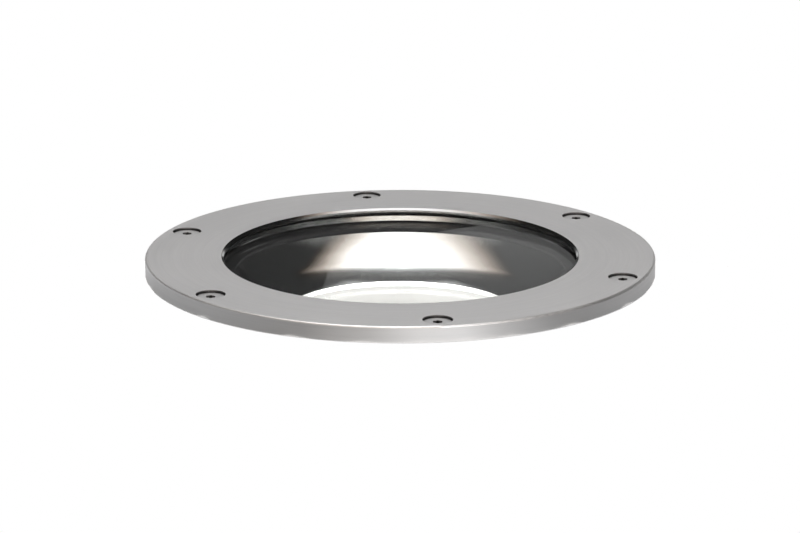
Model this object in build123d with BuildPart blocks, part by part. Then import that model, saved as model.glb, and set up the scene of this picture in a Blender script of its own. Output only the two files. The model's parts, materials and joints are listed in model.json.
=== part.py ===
from build123d import *
import os
from math import cos, dist, hypot, pi, radians, sin, tan

# Recessed ground light. Millimetres, +Z up. The origin is the centre of the trim ring's underside,
# so z = 0 is the paving that the ring lies on and everything below it is in the ground.

# Shared clearances
overrun = 5.0            # how far every cutter reaches past what it cuts
body_gap = 0.3           # between curved faces of pieces that part from each other
snug_gap = 0.15          # between curved faces of pieces that stay together
thread_gap = 0.08        # radial, a screw in its thread

# Trim ring
ring_overhang = 5.0      # how far the ring reaches past the luminaire's flange
ring_t = 9.3
ring_edge_r = 1.2
window_inset = 7.7       # how far the ring reaches inside the collar's upstand
window_chamfer = 1.1
lip_t = 2.4              # what is left of the ring over the glass
ring_step = 1.5          # how far the ring drops over the luminaire's flange
skirt_wall = 6.4
skirt_edge = 0.6

# Ring screws, M8 countersunk with a hexagon socket
screw_count = 6
screw_inset = 7.0        # from the flange's edge
screw_first_angle = 30.0
m8_r = 4.0
m8_head_r = 8.0
m8_head_rim = 0.4
m8_socket_across = 5.0
m8_socket_depth = 3.2
m8_length = 18.0
m8_tip = 1.0
m8_socket_turn = 51.3
screw_recess_depth = 1.35
screw_hole_gap = 0.5     # radial, shank in the ring's hole

# Glass, its gasket and the ring that holds them from below
gasket_t = 1.2
gasket_back_t = 2.2
glass_t = 10.0
glass_cover = 7.0        # how far the glass reaches past the collar's upstand
glass_edge = 0.8
gasket_top_cover = 12.6  # how far the gasket's upper leg covers the glass
gasket_low_cover = 5.6   # the lower leg
retainer_t = 2.0
retainer_inner_gap = 0.5
m25_r = 1.25
m25_head_r = 2.35
m25_head_rim = 0.2
m25_socket_across = 1.5
m25_socket_depth = 0.9
m25_tip = 0.3
retainer_screw_count = 6
retainer_screw_length = 8.0

# Luminaire housing, an aluminium casting
flange_w = 15.8
flange_t = 12.0
flange_fit = 0.6         # radial, the flange in the trim ring
flange_edge = 0.8
cover_gap = 0.4          # under the retainer
bowl_wall = 5.0
ledge_w = 7.5
ledge_t = 8.1
shoulder_t = 4.0
shoulder_w = 13.9        # from the can's inside to the spreader's screws, at least
can_wall = 5.0
can_clear = 7.4          # around the driver's corners
wiring_room = 24.0       # over the driver
can_floor_t = 5.0
casting_fillet = 3.0
fin_count = 24
fin_t = 3.0
fin_reach = 21.0
fin_foot = 6.0           # how far the fins end above the underside
spreader_boss_r = 5.5
spreader_boss_drop = 6.0

# Seal between the casting and the trim ring
seal_w = 2.2
seal_h = 2.4
seal_inset = 1.2         # from the flange's inner edge
seal_round = 0.5

# Upper reflector and its collar
collar_top_gap = 0.5     # under the glass
collar_wall = 1.2
collar_h = 3.5
collar_seat = 0.4        # how far the collar's edge reaches over the bowl's wall
collar_foot_w = 7.4      # from the edge to the inside of the upstand
collar_plate_w = 10.5    # inside the upstand
collar_plate_t = 1.8
collar_edge = 0.4
reflector_sheet = 0.8
mouth_cover = 0.5        # how far the bowl's mouth lies inside the collar
reflector_h = 24.4
reflector_low_angle = 22.0    # slope of the bowl at its lower opening
reflector_lip_drop = 2.6
collar_screw_count = 3
collar_screw_inset = 3.2
collar_screw_first_angle = 30.0
m3_r = 1.5
m3_head_r = 3.0
m3_head_rim = 0.2
m3_socket_across = 2.0
m3_socket_depth = 1.0
m3_tip = 0.4
collar_screw_length = 8.0

# Lower reflector, diffuser and LED engine
cup_gap = 0.3
cup_sheet = 0.8
cup_collar_h = 3.0
cup_depth = 14.7         # from the bowl's lower opening to the diffuser
cup_taper = 4.0
cup_foot_w = 7.0
diffuser_t = 2.2
diffuser_cover = 5.0     # how far the diffuser lies on its frame
frame_wall = 4.0
frame_foot_t = 2.0
frame_foot_w = 8.85
frame_height = 7.6
frame_top_rim = 0.8      # how far the frame stands over the diffuser
frame_screw_count = 3
frame_screw_inset = 4.0
frame_screw_length = 5.0
board_r = 63.0
board_t = 1.6
board_screw_count = 3
board_clear = 4.0        # between the board and the diffuser's frame
board_screw_inset = 8.0
board_screw_first_angle = 90.0
board_screw_length = 6.0
m3_cap_r = 2.75
m3_cap_h = 1.9
m3_cap_socket_across = 2.0
led_size = 5.0
led_h = 1.0
led_lens_r = 1.9
led_lens_h = 0.5
led_ring_shares = ((0.175, 4), (0.395, 8), (0.635, 12))    # of the board's radius, and how many LEDs
led_first_angle = 5.0
connector_x, connector_y, connector_h = 8.0, 9.0, 1.8
spreader_t = 6.0
spreader_edge = 8.0      # outside its screws
spreader_clear = 15.0    # between the spreader and the bowl's wall
spreader_screw_count = 4
spreader_screw_gap = 3.4    # between a screw's head and the diffuser's frame
spreader_screw_first_angle = 45.0
spreader_screw_length = 9.0
m4_r = 2.0
m4_head_r = 3.6
m4_head_h = 2.6
m4_socket_across = 2.5
screw_bevel = 0.3

# Driver
driver_x, driver_y, driver_h = 112.0, 50.0, 25.0
driver_offset = 7.0      # from the light's axis to the driver's front
driver_wall = 1.6
driver_corner_r = 3.0
driver_lid_t = 1.6
driver_foot_x, driver_foot_y, driver_foot_t = 8.0, 18.0, 2.0
driver_foot_screw_x = 4.0
post_inset = 6.4         # of the posts under the circuit board
driver_screw_length = 5.6
circuit_t = 1.6
circuit_gap = 1.0        # between the circuit board and the case
circuit_stand = 3.0
coil_x, coil_y = 24.0, 26.0
coil_gap = 3.2           # under the lid
can_cap_r = 6.0
can_cap_gap = 2.2        # under the lid
part_edge = 1.0

# Terminal block with one clamping lever for each pole
poles = ("earth", "neutral", "live")
block_x, block_y, block_h = 42.0, 24.0, 15.0
wire_room = 23.0         # between the block and the driver
block_corner_r = 1.2
block_ear_x, block_ear_y, block_ear_t = 8.0, 10.0, 3.0
block_screw_length = 6.5
pole_spacing = 13.0
port_r = 2.2
port_depth = 9.0
port_height = 5.0
lever_w = 8.0
lever_l = 15.0
lever_t = 2.2
lever_hub_r = 2.0
lever_hub_drop = 3.0     # hub's axis under the block's top
lever_hub_y = 5.0        # hub's axis from the block's middle
lever_pin_r = 1.1
lever_pin_gap = 0.05
lever_well_gap = 0.35

# Wires, all held inside the casting
wire_r = 0.8
bend_share = 0.45        # of the shorter run, taken by each bend
lead_inset = 5.0         # from the driver's end, where the LED leads rise through the spreader
lead_spacing = 5.0
lead_run = 6.0           # along the board
lead_hole_r = 1.6
lead_height = 1.0        # of a lead's middle over the board
port_insert = 7.0
mains_step = 5.0
mains_run = 9.0
earth_run = 12.0

# Earth screw, its lug and washer on a boss of the floor
earth_room = 19.0        # beside the terminal block
earth_inset = 6.0        # behind the block's ports
earth_boss_r = 5.5
lug_t = 0.8
lug_r = 4.6
lug_barrel_r = 1.6
lug_barrel_l = 6.0
washer_t = 1.0
washer_r = 4.4
m5_r = 2.5
m5_head_r = 4.2
m5_head_h = 2.8
m5_socket_across = 3.0
m5_length = 7.5

# Cable glands, M20, one at each side
gland_height = 16.0      # of the glands' axis over the can's floor
pad_reach = 6.0
gland_pad_r = 17.0
gland_thread_r = 10.0
gland_inner_l = 2.0      # of thread inside the casting
gland_washer_r = 13.5
gland_washer_t = 1.6
gland_hex_across = 26.0
gland_hex_t = 6.0
gland_barrel_r = 10.6
gland_barrel_l = 11.0
gland_bore_r = 7.5
gland_through_r = 6.0
gland_nut_across = 25.0
gland_nut_l = 15.0
gland_nut_face_gap = 0.4
gland_nut_round = 3.0
gland_nut_mouth_r = 6.4
gland_nut_lip_t = 2.5
gland_seal_r = 4.5
gland_seal_l = 12.0

# Breather plug, M12, at the back of the can
vent_pad_r = 12.0
vent_thread_r = 6.0
vent_inner_l = 1.5
vent_washer_r = 8.4
vent_washer_t = 1.4
vent_head_across = 17.0
vent_head_t = 4.0
vent_cap_r = 7.4
vent_cap_t = 3.0
vent_slot_count = 4
vent_slot_w = 1.4
vent_bore_r = 2.6
vent_disc_r = 4.2
vent_disc_t = 0.6
vent_disc_depth = 1.6    # of the membrane under the cap's face

# Installation housing, a plastic sleeve that stays in the ground
flange_gasket_t = 2.0
sleeve_proud = 0.3       # how far the rim reaches past the flange
sleeve_clear = 4.5       # around the bowl, at the mouth
sleeve_step = 3.0        # from the mouth to the inside
sleeve_rim_t = 6.0
sleeve_wall = 3.5
sleeve_room = 90.0       # under the luminaire
sleeve_floor_t = 6.0
sleeve_foot_t = 5.0
sleeve_rib_count = 8
sleeve_rib_first_angle = 22.5
sleeve_rib_t = 3.0
sleeve_rib_reach = 7.0
hoop_shares = (0.32, 0.62)    # places of the hoops, shares of the sleeve's depth
hoop_t = 3.0
hoop_reach = 6.0
foot_hole_count = 4
foot_hole_r = 2.75
foot_hole_inset = 4.5
foot_first_angle = 45.0
insert_count = 3
insert_inset = 6.0       # from the flange's edge
insert_angle = 60.0
insert_r = 3.6
insert_l = 11.0
insert_boss_r = 6.2
insert_boss_h = 20.0
flange_screw_head_r = 5.0
flange_screw_rim = 0.3
flange_screw_across = 3.0
flange_screw_socket = 2.0
flange_screw_length = 22.0
flange_screw_tip = 0.6
conduit_height = 41.0    # of the sockets' axis over the sleeve's floor
conduit_r = 12.6
conduit_boss_r = 17.0
conduit_depth = 20.0
conduit_stop_t = 2.0     # between the bore and the sleeve's wall
conduit_hole_r = 10.5    # through the stop and the wall
plug_l = 14.0
plug_wall = 2.0
plug_face_t = 2.5
plug_tab_t = 2.4
plug_tab_h = 7.0
drain_r = 30.0
drain_rebate = 4.0
drain_grate_t = 3.0
drain_circle_shares = ((0.3, 6), (0.57, 12), (0.83, 18))    # of the drain's radius, and how many holes
drain_hole_r = 2.2

# Radii that follow from these, from the LED board and the driver outwards
frame_inner_r = board_r + board_clear
diffuser_r = frame_inner_r + diffuser_cover
rebate_r = diffuser_r + snug_gap
frame_r = rebate_r + frame_wall
frame_foot_r = frame_r + frame_foot_w
frame_screw_r = frame_foot_r - frame_screw_inset
board_screw_r = board_r - board_screw_inset
cup_low_r = diffuser_r - cup_foot_w
reflector_lip_r = cup_low_r + cup_taper
driver_back_y = driver_y - driver_offset
can_inner_r = hypot(driver_x / 2, driver_back_y) + can_clear
can_r = can_inner_r + can_wall
spreader_screw_r = max(frame_foot_r + spreader_screw_gap + m4_head_r, can_inner_r + shoulder_w)
spreader_r = spreader_screw_r + spreader_edge
bowl_inner_r = spreader_r + spreader_clear
bowl_r = bowl_inner_r + bowl_wall
collar_outer_r = bowl_inner_r + collar_seat
collar_pocket_r = collar_outer_r + snug_gap
collar_screw_r = collar_outer_r - collar_screw_inset
upstand_r = collar_outer_r - collar_foot_w
collar_inner_r = upstand_r - collar_plate_w
reflector_mouth_r = collar_inner_r - mouth_cover
retainer_inner_r = upstand_r + collar_wall + retainer_inner_gap
window_r = upstand_r - window_inset
glass_r = upstand_r + glass_cover
gasket_outer_r = glass_r + snug_gap + gasket_back_t
pocket_r = gasket_outer_r + snug_gap
skirt_r = pocket_r + skirt_wall
retainer_screw_r = (pocket_r + skirt_r) / 2
flange_inner_r = skirt_r + body_gap
flange_r = flange_inner_r + flange_w
ring_r = flange_r + ring_overhang
screw_pitch_r = flange_r - screw_inset
recess_r = m8_head_r + body_gap
insert_pitch_r = flange_r - insert_inset
sleeve_rim_r = flange_r + sleeve_proud
sleeve_mouth_r = bowl_r + sleeve_clear
sleeve_inner_r = sleeve_mouth_r + sleeve_step
sleeve_r = sleeve_inner_r + sleeve_wall
foot_pitch_r = sleeve_rim_r - foot_hole_inset
conduit_stop_x = sleeve_r + conduit_stop_t
conduit_face_x = conduit_stop_x + conduit_depth

# Levels that follow, from the ring downwards
ring_top_z = ring_t
lip_z = ring_top_z - lip_t
glass_top_z = lip_z - gasket_t
glass_low_z = glass_top_z - glass_t
skirt_z = glass_low_z - gasket_t
retainer_z = skirt_z - retainer_t
head_z = ring_top_z - screw_recess_depth
flange_z = ring_step
flange_low_z = flange_z - flange_t
recess_floor_z = retainer_z - cover_gap
collar_crest_z = glass_low_z - collar_top_gap
collar_top_z = collar_crest_z - collar_h
collar_low_z = collar_top_z - collar_plate_t
ledge_z = collar_low_z - reflector_sheet
reflector_lip_z = collar_low_z - reflector_h
diffuser_z = reflector_lip_z - cup_depth
diffuser_low_z = diffuser_z - diffuser_t
frame_z = diffuser_z + frame_top_rim
spreader_z = frame_z - frame_height
board_z = spreader_z + board_t
shoulder_z = spreader_z - spreader_t
can_floor_z = shoulder_z - wiring_room - driver_h
can_low_z = can_floor_z - can_floor_t
gland_z = can_floor_z + gland_height
seat_z = flange_low_z - flange_gasket_t
sleeve_floor_z = can_low_z - sleeve_room
sleeve_low_z = sleeve_floor_z - sleeve_floor_t
foot_z = sleeve_low_z + sleeve_foot_t
conduit_z = sleeve_floor_z + conduit_height

# Places inside the can that follow
driver_centre_y = driver_y / 2 - driver_offset
port_face_y = -driver_offset - wire_room
block_centre_y = port_face_y - block_y / 2
lead_x = driver_x / 2 - lead_inset
earth_x = -(block_x / 2 + block_ear_x + earth_room)
earth_y = port_face_y - earth_inset


def saved(piece, name):
    """Labels a finished piece and writes its STEP file."""
    piece.part.label = name
    export_step(piece.part, f"parts/{name}.step")


def countersunk_screw(shank_r, head_r, rim, length, across, depth, tip, turn=0):
    """A countersunk socket screw whose flat head is at z = 0 and whose shank points down."""
    cone = head_r - shank_r
    with BuildPart() as screw:
        with BuildSketch(Plane.XZ):
            with BuildLine():
                Polyline(
                    (0, 0), (head_r, 0), (head_r, -rim), (shank_r, -rim - cone),
                    (shank_r, tip - length), (shank_r - tip, -length), (0, -length),
                    close=True,
                )
            make_face()
        revolve(axis=Axis.Z)
        with BuildSketch(Plane.XY):
            RegularPolygon(across / 2, 6, major_radius=False, rotation=turn)
        extrude(amount=-depth, mode=Mode.SUBTRACT)
    return screw.part


def countersink(shank_r, head_r, rim, length):
    """The hole for a countersunk screw: a cylinder for its head, a cone and a hole for its shank."""
    cone = head_r - shank_r
    with BuildPart() as hole:
        with BuildSketch(Plane.XZ):
            with BuildLine():
                Polyline(
                    (0, overrun), (head_r, overrun), (head_r, -rim), (shank_r, -rim - cone),
                    (shank_r, -length), (0, -length),
                    close=True,
                )
            make_face()
        revolve(axis=Axis.Z)
    return hole.part


def cap_screw(shank_r, head_r, head_h, length, across, tip):
    """A socket cap screw that stands on z = 0, with its head above and its shank below."""
    with BuildPart() as screw:
        with BuildSketch(Plane.XZ):
            with BuildLine():
                Polyline(
                    (0, head_h), (head_r - tip, head_h), (head_r, head_h - tip), (head_r, 0),
                    (shank_r, 0), (shank_r, tip - length), (shank_r - tip, -length), (0, -length),
                    close=True,
                )
            make_face()
        revolve(axis=Axis.Z)
        with BuildSketch(Plane.XY.offset(head_h)):
            RegularPolygon(across / 2, 6, major_radius=False)
        extrude(amount=-head_h / 2, mode=Mode.SUBTRACT)
    return screw.part


def wire(points):
    """A round wire along straight runs, joined by arcs as large as their runs allow."""
    runs = [dist(*ends) for ends in zip(points, points[1:])]
    radii = []
    for number in range(1, len(points) - 1):
        before = Vector(*points[number]) - Vector(*points[number - 1])
        after = Vector(*points[number + 1]) - Vector(*points[number])
        half_turn = radians(before.get_angle(after) / 2)
        radii.append(bend_share * min(runs[number - 1], runs[number]) / tan(half_turn))
    with BuildPart() as held:
        with BuildLine() as path:
            FilletPolyline(*points, radius=radii)
        with BuildSketch(Plane(origin=points[0], z_dir=Vector(*points[1]) - Vector(*points[0]))):
            Circle(wire_r)
        sweep(path=path.line)
    whole = pi * wire_r**2 * path.wire().length
    print("wire radii", [round(radius, 1) for radius in radii], "volume share", held.part.volume / whole)
    return held


os.makedirs("parts", exist_ok=True)

m8_screw = countersunk_screw(
    m8_r, m8_head_r, m8_head_rim, m8_length, m8_socket_across, m8_socket_depth, m8_tip,
    m8_socket_turn,
)

# Trim ring: a flat turned ring with a skirt that centres the glass
ring_hole = countersink(
    m8_r + screw_hole_gap, recess_r, m8_head_rim, ring_t + overrun
)
retainer_hole = countersink(
    m25_r + thread_gap, m25_head_r + snug_gap, m25_head_rim, retainer_screw_length + overrun
)
with BuildPart() as trim_ring:
    with BuildSketch(Plane.XZ):
        with BuildLine():
            Polyline(
                (ring_r, 0), (ring_r, ring_top_z), (window_r, ring_top_z), (window_r, lip_z),
                (pocket_r, lip_z), (pocket_r, skirt_z), (skirt_r, skirt_z), (skirt_r, ring_step),
                (flange_r + flange_fit, ring_step), (flange_r + flange_fit, 0),
                close=True,
            )
        make_face()
    revolve(axis=Axis.Z)
    top_edges = trim_ring.edges().filter_by_position(Axis.Z, ring_top_z, ring_top_z)
    fillet(top_edges.sort_by(SortBy.LENGTH)[-1], ring_edge_r)
    chamfer(top_edges.sort_by(SortBy.LENGTH)[0], window_chamfer)
    skirt_edges = trim_ring.edges().filter_by_position(Axis.Z, skirt_z, skirt_z)
    chamfer(skirt_edges.sort_by(SortBy.LENGTH)[-1], skirt_edge)
    with Locations((0, 0, head_z)):
        with PolarLocations(screw_pitch_r, screw_count, start_angle=screw_first_angle):
            add(ring_hole, mode=Mode.SUBTRACT)
    with Locations((0, 0, retainer_z)):
        with PolarLocations(retainer_screw_r, retainer_screw_count):
            Cylinder(
                m25_r + thread_gap, retainer_screw_length + m25_tip,
                align=(Align.CENTER, Align.CENTER, Align.MIN), mode=Mode.SUBTRACT,
            )
saved(trim_ring, "trim_ring")

with BuildPart() as ring_screws:
    with Locations((0, 0, head_z)):
        with PolarLocations(screw_pitch_r, screw_count, start_angle=screw_first_angle):
            add(m8_screw)
saved(ring_screws, "ring_screws")

# Glass and what holds it in the trim ring
with BuildPart() as safety_glass:
    with BuildSketch(Plane.XY.offset(glass_low_z)):
        Circle(glass_r)
    extrude(amount=glass_t)
    chamfer(safety_glass.edges(), glass_edge)
saved(safety_glass, "safety_glass")

glass_pocket_r = glass_r + snug_gap
with BuildPart() as glass_gasket:
    with BuildSketch(Plane.XZ):
        with BuildLine():
            Polyline(
                (glass_r - gasket_top_cover, lip_z), (gasket_outer_r, lip_z),
                (gasket_outer_r, skirt_z), (glass_r - gasket_low_cover, skirt_z),
                (glass_r - gasket_low_cover, glass_low_z), (glass_pocket_r, glass_low_z),
                (glass_pocket_r, glass_top_z), (glass_r - gasket_top_cover, glass_top_z),
                close=True,
            )
        make_face()
    revolve(axis=Axis.Z)
saved(glass_gasket, "glass_gasket")

with BuildPart() as glass_retainer:
    with BuildSketch(Plane.XY.offset(retainer_z)):
        Circle(skirt_r)
        Circle(retainer_inner_r, mode=Mode.SUBTRACT)
    extrude(amount=retainer_t)
    outer_low = glass_retainer.edges().filter_by_position(Axis.Z, retainer_z, retainer_z)
    chamfer(outer_low.sort_by(SortBy.LENGTH)[-1], skirt_edge)
    with Locations(Location((0, 0, retainer_z), (180, 0, 0))):
        with PolarLocations(retainer_screw_r, retainer_screw_count):
            add(retainer_hole, mode=Mode.SUBTRACT)
saved(glass_retainer, "glass_retainer")

m25_screw = countersunk_screw(
    m25_r, m25_head_r, m25_head_rim, retainer_screw_length,
    m25_socket_across, m25_socket_depth, m25_tip,
)
with BuildPart() as retainer_screws:
    with Locations(Location((0, 0, retainer_z), (180, 0, 0))):
        with PolarLocations(retainer_screw_r, retainer_screw_count):
            add(m25_screw)
saved(retainer_screws, "retainer_screws")


# Luminaire housing: flange, bowl, shoulder and a finned can for the driver
flange_screw_hole = countersink(
    m5_r + screw_hole_gap, flange_screw_head_r + snug_gap, flange_screw_rim, flange_t + overrun
)
flange_screw = countersunk_screw(
    m5_r, flange_screw_head_r, flange_screw_rim, flange_screw_length,
    flange_screw_across, flange_screw_socket, flange_screw_tip,
)
seal_inner_r = flange_inner_r + seal_inset
fin_low_z = can_low_z + fin_foot
fin_r = can_r + fin_reach
fin_root_r = can_r - can_wall / 2
shoulder_low_z = shoulder_z - shoulder_t
shoulder_mid_z = shoulder_z - shoulder_t / 2
pad_x = can_r + pad_reach
keep_clear = gland_pad_r + fin_t
flange_screw_z = flange_z - flange_screw_rim
port_z = can_floor_z + port_height
earth_boss_z = port_z - lug_barrel_r
with BuildPart() as luminaire_housing:
    with BuildSketch(Plane.XZ):
        with BuildLine():
            Polyline(
                (0, can_low_z), (can_r, can_low_z), (can_r, shoulder_low_z),
                (bowl_r, shoulder_low_z), (bowl_r, flange_low_z), (flange_r, flange_low_z),
                (flange_r, flange_z), (flange_inner_r, flange_z), (flange_inner_r, recess_floor_z),
                (collar_pocket_r, recess_floor_z), (collar_pocket_r, ledge_z),
                (bowl_inner_r - ledge_w, ledge_z), (bowl_inner_r - ledge_w, ledge_z - ledge_t),
                (bowl_inner_r, ledge_z - ledge_t - ledge_w), (bowl_inner_r, shoulder_z),
                (can_inner_r, shoulder_z), (can_inner_r, can_floor_z), (0, can_floor_z),
                close=True,
            )
        make_face()
    revolve(axis=Axis.Z)
    cast_edges = luminaire_housing.edges().filter_by(GeomType.CIRCLE)
    low_edges = cast_edges.filter_by_position(Axis.Z, can_low_z, can_low_z)
    shoulder_edges = cast_edges.filter_by_position(Axis.Z, shoulder_low_z, shoulder_low_z)
    fillet(low_edges + shoulder_edges, casting_fillet)
    flange_edges = luminaire_housing.edges().filter_by_position(Axis.Z, flange_z, flange_z)
    chamfer(flange_edges.sort_by(SortBy.LENGTH)[-1], flange_edge)
    # Cooling fins under the shoulder, left out beside the glands and the breather
    for number in range(fin_count):
        angle = radians(360 * number / fin_count)
        beside_gland = abs(fin_r * sin(angle)) < keep_clear
        beside_vent = abs(fin_r * cos(angle)) < keep_clear and sin(angle) < 0
        if not beside_gland and not beside_vent:
            along = (cos(angle), sin(angle), 0)
            across = (sin(angle), -cos(angle), 0)
            with BuildSketch(Plane(origin=(0, 0, 0), x_dir=along, z_dir=across)):
                with BuildLine():
                    Polyline(
                        (fin_root_r, shoulder_mid_z), (fin_r, shoulder_mid_z),
                        (fin_r, shoulder_low_z - fin_reach / 2),
                        (can_r + fin_foot, fin_low_z), (fin_root_r, fin_low_z),
                        close=True,
                    )
                make_face()
            extrude(amount=fin_t / 2, both=True)
    # Bosses that the spreader's screws go into
    with Locations((0, 0, shoulder_mid_z)):
        with PolarLocations(
            spreader_screw_r, spreader_screw_count, start_angle=spreader_screw_first_angle
        ):
            Cylinder(
                spreader_boss_r, spreader_boss_drop + shoulder_t / 2,
                align=(Align.CENTER, Align.CENTER, Align.MAX),
            )
    # Pads for the glands and the breather, and the earth screw's boss
    for side in (1, -1):
        with BuildSketch(Plane.YZ.offset(side * can_inner_r)):
            with Locations((0, gland_z)):
                Circle(gland_pad_r)
        extrude(amount=side * (pad_x - can_inner_r))
    with BuildSketch(Plane.XZ.offset(can_inner_r)):
        with Locations((0, gland_z)):
            Circle(vent_pad_r)
    extrude(amount=pad_x - can_inner_r)
    with BuildSketch(Plane.XY.offset(can_floor_z)):
        with Locations((earth_x, earth_y)):
            Circle(earth_boss_r)
    extrude(amount=earth_boss_z - can_floor_z)
    # Threaded holes for the ring screws, and countersunk ones for the flange screws
    with BuildSketch(Plane.XY.offset(flange_low_z)):
        with PolarLocations(screw_pitch_r, screw_count, start_angle=screw_first_angle):
            Circle(m8_r + thread_gap)
    extrude(amount=flange_t + overrun, mode=Mode.SUBTRACT)
    with Locations((0, 0, flange_screw_z)):
        with PolarLocations(insert_pitch_r, insert_count, start_angle=insert_angle):
            add(flange_screw_hole, mode=Mode.SUBTRACT)
    # Seal groove
    with BuildSketch(Plane.XY.offset(flange_z - seal_h)):
        Circle(seal_inner_r + seal_w + snug_gap)
        Circle(seal_inner_r - snug_gap, mode=Mode.SUBTRACT)
    extrude(amount=seal_h + overrun, mode=Mode.SUBTRACT)
    # Threaded holes for the collar's screws, from above
    with BuildSketch(Plane.XY.offset(collar_top_z - collar_screw_length - m3_tip)):
        with PolarLocations(
            collar_screw_r, collar_screw_count, start_angle=collar_screw_first_angle
        ):
            Circle(m3_r + thread_gap)
    extrude(amount=collar_screw_length, mode=Mode.SUBTRACT)
    # Threaded holes for the spreader's screws
    with BuildSketch(Plane.XY.offset(spreader_z - spreader_screw_length - screw_bevel)):
        with PolarLocations(
            spreader_screw_r, spreader_screw_count, start_angle=spreader_screw_first_angle
        ):
            Circle(m4_r + thread_gap)
    extrude(amount=spreader_screw_length, mode=Mode.SUBTRACT)
    # Threaded holes in the floor: the driver's feet, the terminal block and the earth screw
    with BuildSketch(Plane.XY.offset(can_floor_z + driver_foot_t - driver_screw_length)):
        for side in (1, -1):
            with Locations((side * (driver_x / 2 + driver_foot_screw_x), driver_centre_y)):
                Circle(m4_r + thread_gap)
    extrude(amount=driver_screw_length, mode=Mode.SUBTRACT)
    with BuildSketch(Plane.XY.offset(can_floor_z + block_ear_t - block_screw_length)):
        for side in (1, -1):
            with Locations((side * (block_x + block_ear_x) / 2, block_centre_y)):
                Circle(m3_r + thread_gap)
    extrude(amount=block_screw_length, mode=Mode.SUBTRACT)
    with BuildSketch(Plane.XY.offset(earth_boss_z + lug_t + washer_t - m5_length)):
        with Locations((earth_x, earth_y)):
            Circle(m5_r + thread_gap)
    extrude(amount=m5_length, mode=Mode.SUBTRACT)
    # Threaded holes for the glands and the breather
    for side in (1, -1):
        with BuildSketch(Plane.YZ.offset(side * can_inner_r / 2)):
            with Locations((0, gland_z)):
                Circle(gland_thread_r + thread_gap)
        extrude(amount=side * (pad_x - can_inner_r / 2 + overrun), mode=Mode.SUBTRACT)
    with BuildSketch(Plane.XZ.offset(can_inner_r / 2)):
        with Locations((0, gland_z)):
            Circle(vent_thread_r + thread_gap)
    extrude(amount=pad_x - can_inner_r / 2 + overrun, mode=Mode.SUBTRACT)
saved(luminaire_housing, "luminaire_housing")

with BuildPart() as cover_seal:
    with BuildSketch(Plane.XZ):
        with Locations((seal_inner_r + seal_w / 2, flange_z - seal_h / 2)):
            RectangleRounded(seal_w, seal_h, seal_round)
    revolve(axis=Axis.Z)
saved(cover_seal, "cover_seal")

with BuildPart() as flange_screws:
    with Locations((0, 0, flange_screw_z)):
        with PolarLocations(insert_pitch_r, insert_count, start_angle=insert_angle):
            add(flange_screw)
saved(flange_screws, "flange_screws")

# Collar: a turned plate with an upstand just under the glass
m3_hole = countersink(
    m3_r + thread_gap, m3_head_r + snug_gap, m3_head_rim, collar_screw_length
)
m3_screw = countersunk_screw(
    m3_r, m3_head_r, m3_head_rim, collar_screw_length, m3_socket_across, m3_socket_depth, m3_tip
)
with BuildPart() as reflector_collar:
    with BuildSketch(Plane.XZ):
        with BuildLine():
            Polyline(
                (collar_inner_r, collar_low_z), (collar_outer_r, collar_low_z),
                (collar_outer_r, collar_top_z), (upstand_r + collar_wall, collar_top_z),
                (upstand_r + collar_wall, collar_crest_z), (upstand_r, collar_crest_z),
                (upstand_r, collar_top_z), (collar_inner_r, collar_top_z),
                close=True,
            )
        make_face()
    revolve(axis=Axis.Z)
    crest = reflector_collar.edges().filter_by_position(Axis.Z, collar_crest_z, collar_crest_z)
    fillet(crest, collar_edge)
    inner_top = reflector_collar.edges().filter_by_position(Axis.Z, collar_top_z, collar_top_z)
    fillet(inner_top.sort_by(SortBy.LENGTH)[0], collar_edge)
    with Locations((0, 0, collar_top_z)):
        with PolarLocations(
            collar_screw_r, collar_screw_count, start_angle=collar_screw_first_angle
        ):
            add(m3_hole, mode=Mode.SUBTRACT)
saved(reflector_collar, "reflector_collar")

with BuildPart() as collar_screws:
    with Locations((0, 0, collar_top_z)):
        with PolarLocations(
            collar_screw_r, collar_screw_count, start_angle=collar_screw_first_angle
        ):
            add(m3_screw)
saved(collar_screws, "collar_screws")

# Upper reflector: a spun bowl whose flange is clamped under the collar
low_slope = (cos(radians(reflector_low_angle)), sin(radians(reflector_low_angle)))
sheet_drop = reflector_sheet * (1 - low_slope[1]) / low_slope[0]
reflector_lip_low_z = reflector_lip_z - reflector_lip_drop
lip_outer_r = reflector_lip_r + reflector_sheet
with BuildPart() as upper_reflector:
    with BuildSketch(Plane.XZ):
        with BuildLine():
            inside = TangentArc(
                (reflector_lip_r, reflector_lip_z), (reflector_mouth_r, collar_low_z),
                tangent=low_slope,
            )
            Polyline(
                inside @ 1, (collar_outer_r, collar_low_z), (collar_outer_r, ledge_z),
                (reflector_mouth_r + reflector_sheet / 2, ledge_z),
            )
            outside = TangentArc(
                (lip_outer_r, reflector_lip_z - sheet_drop),
                (reflector_mouth_r + reflector_sheet / 2, ledge_z),
                tangent=low_slope,
            )
            Polyline(
                outside @ 0, (lip_outer_r, reflector_lip_low_z),
                (reflector_lip_r, reflector_lip_low_z), inside @ 0,
            )
        make_face()
    revolve(axis=Axis.Z)
    with Locations((0, 0, collar_top_z)):
        with PolarLocations(
            collar_screw_r, collar_screw_count, start_angle=collar_screw_first_angle
        ):
            add(m3_hole, mode=Mode.SUBTRACT)
saved(upper_reflector, "upper_reflector")

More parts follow.
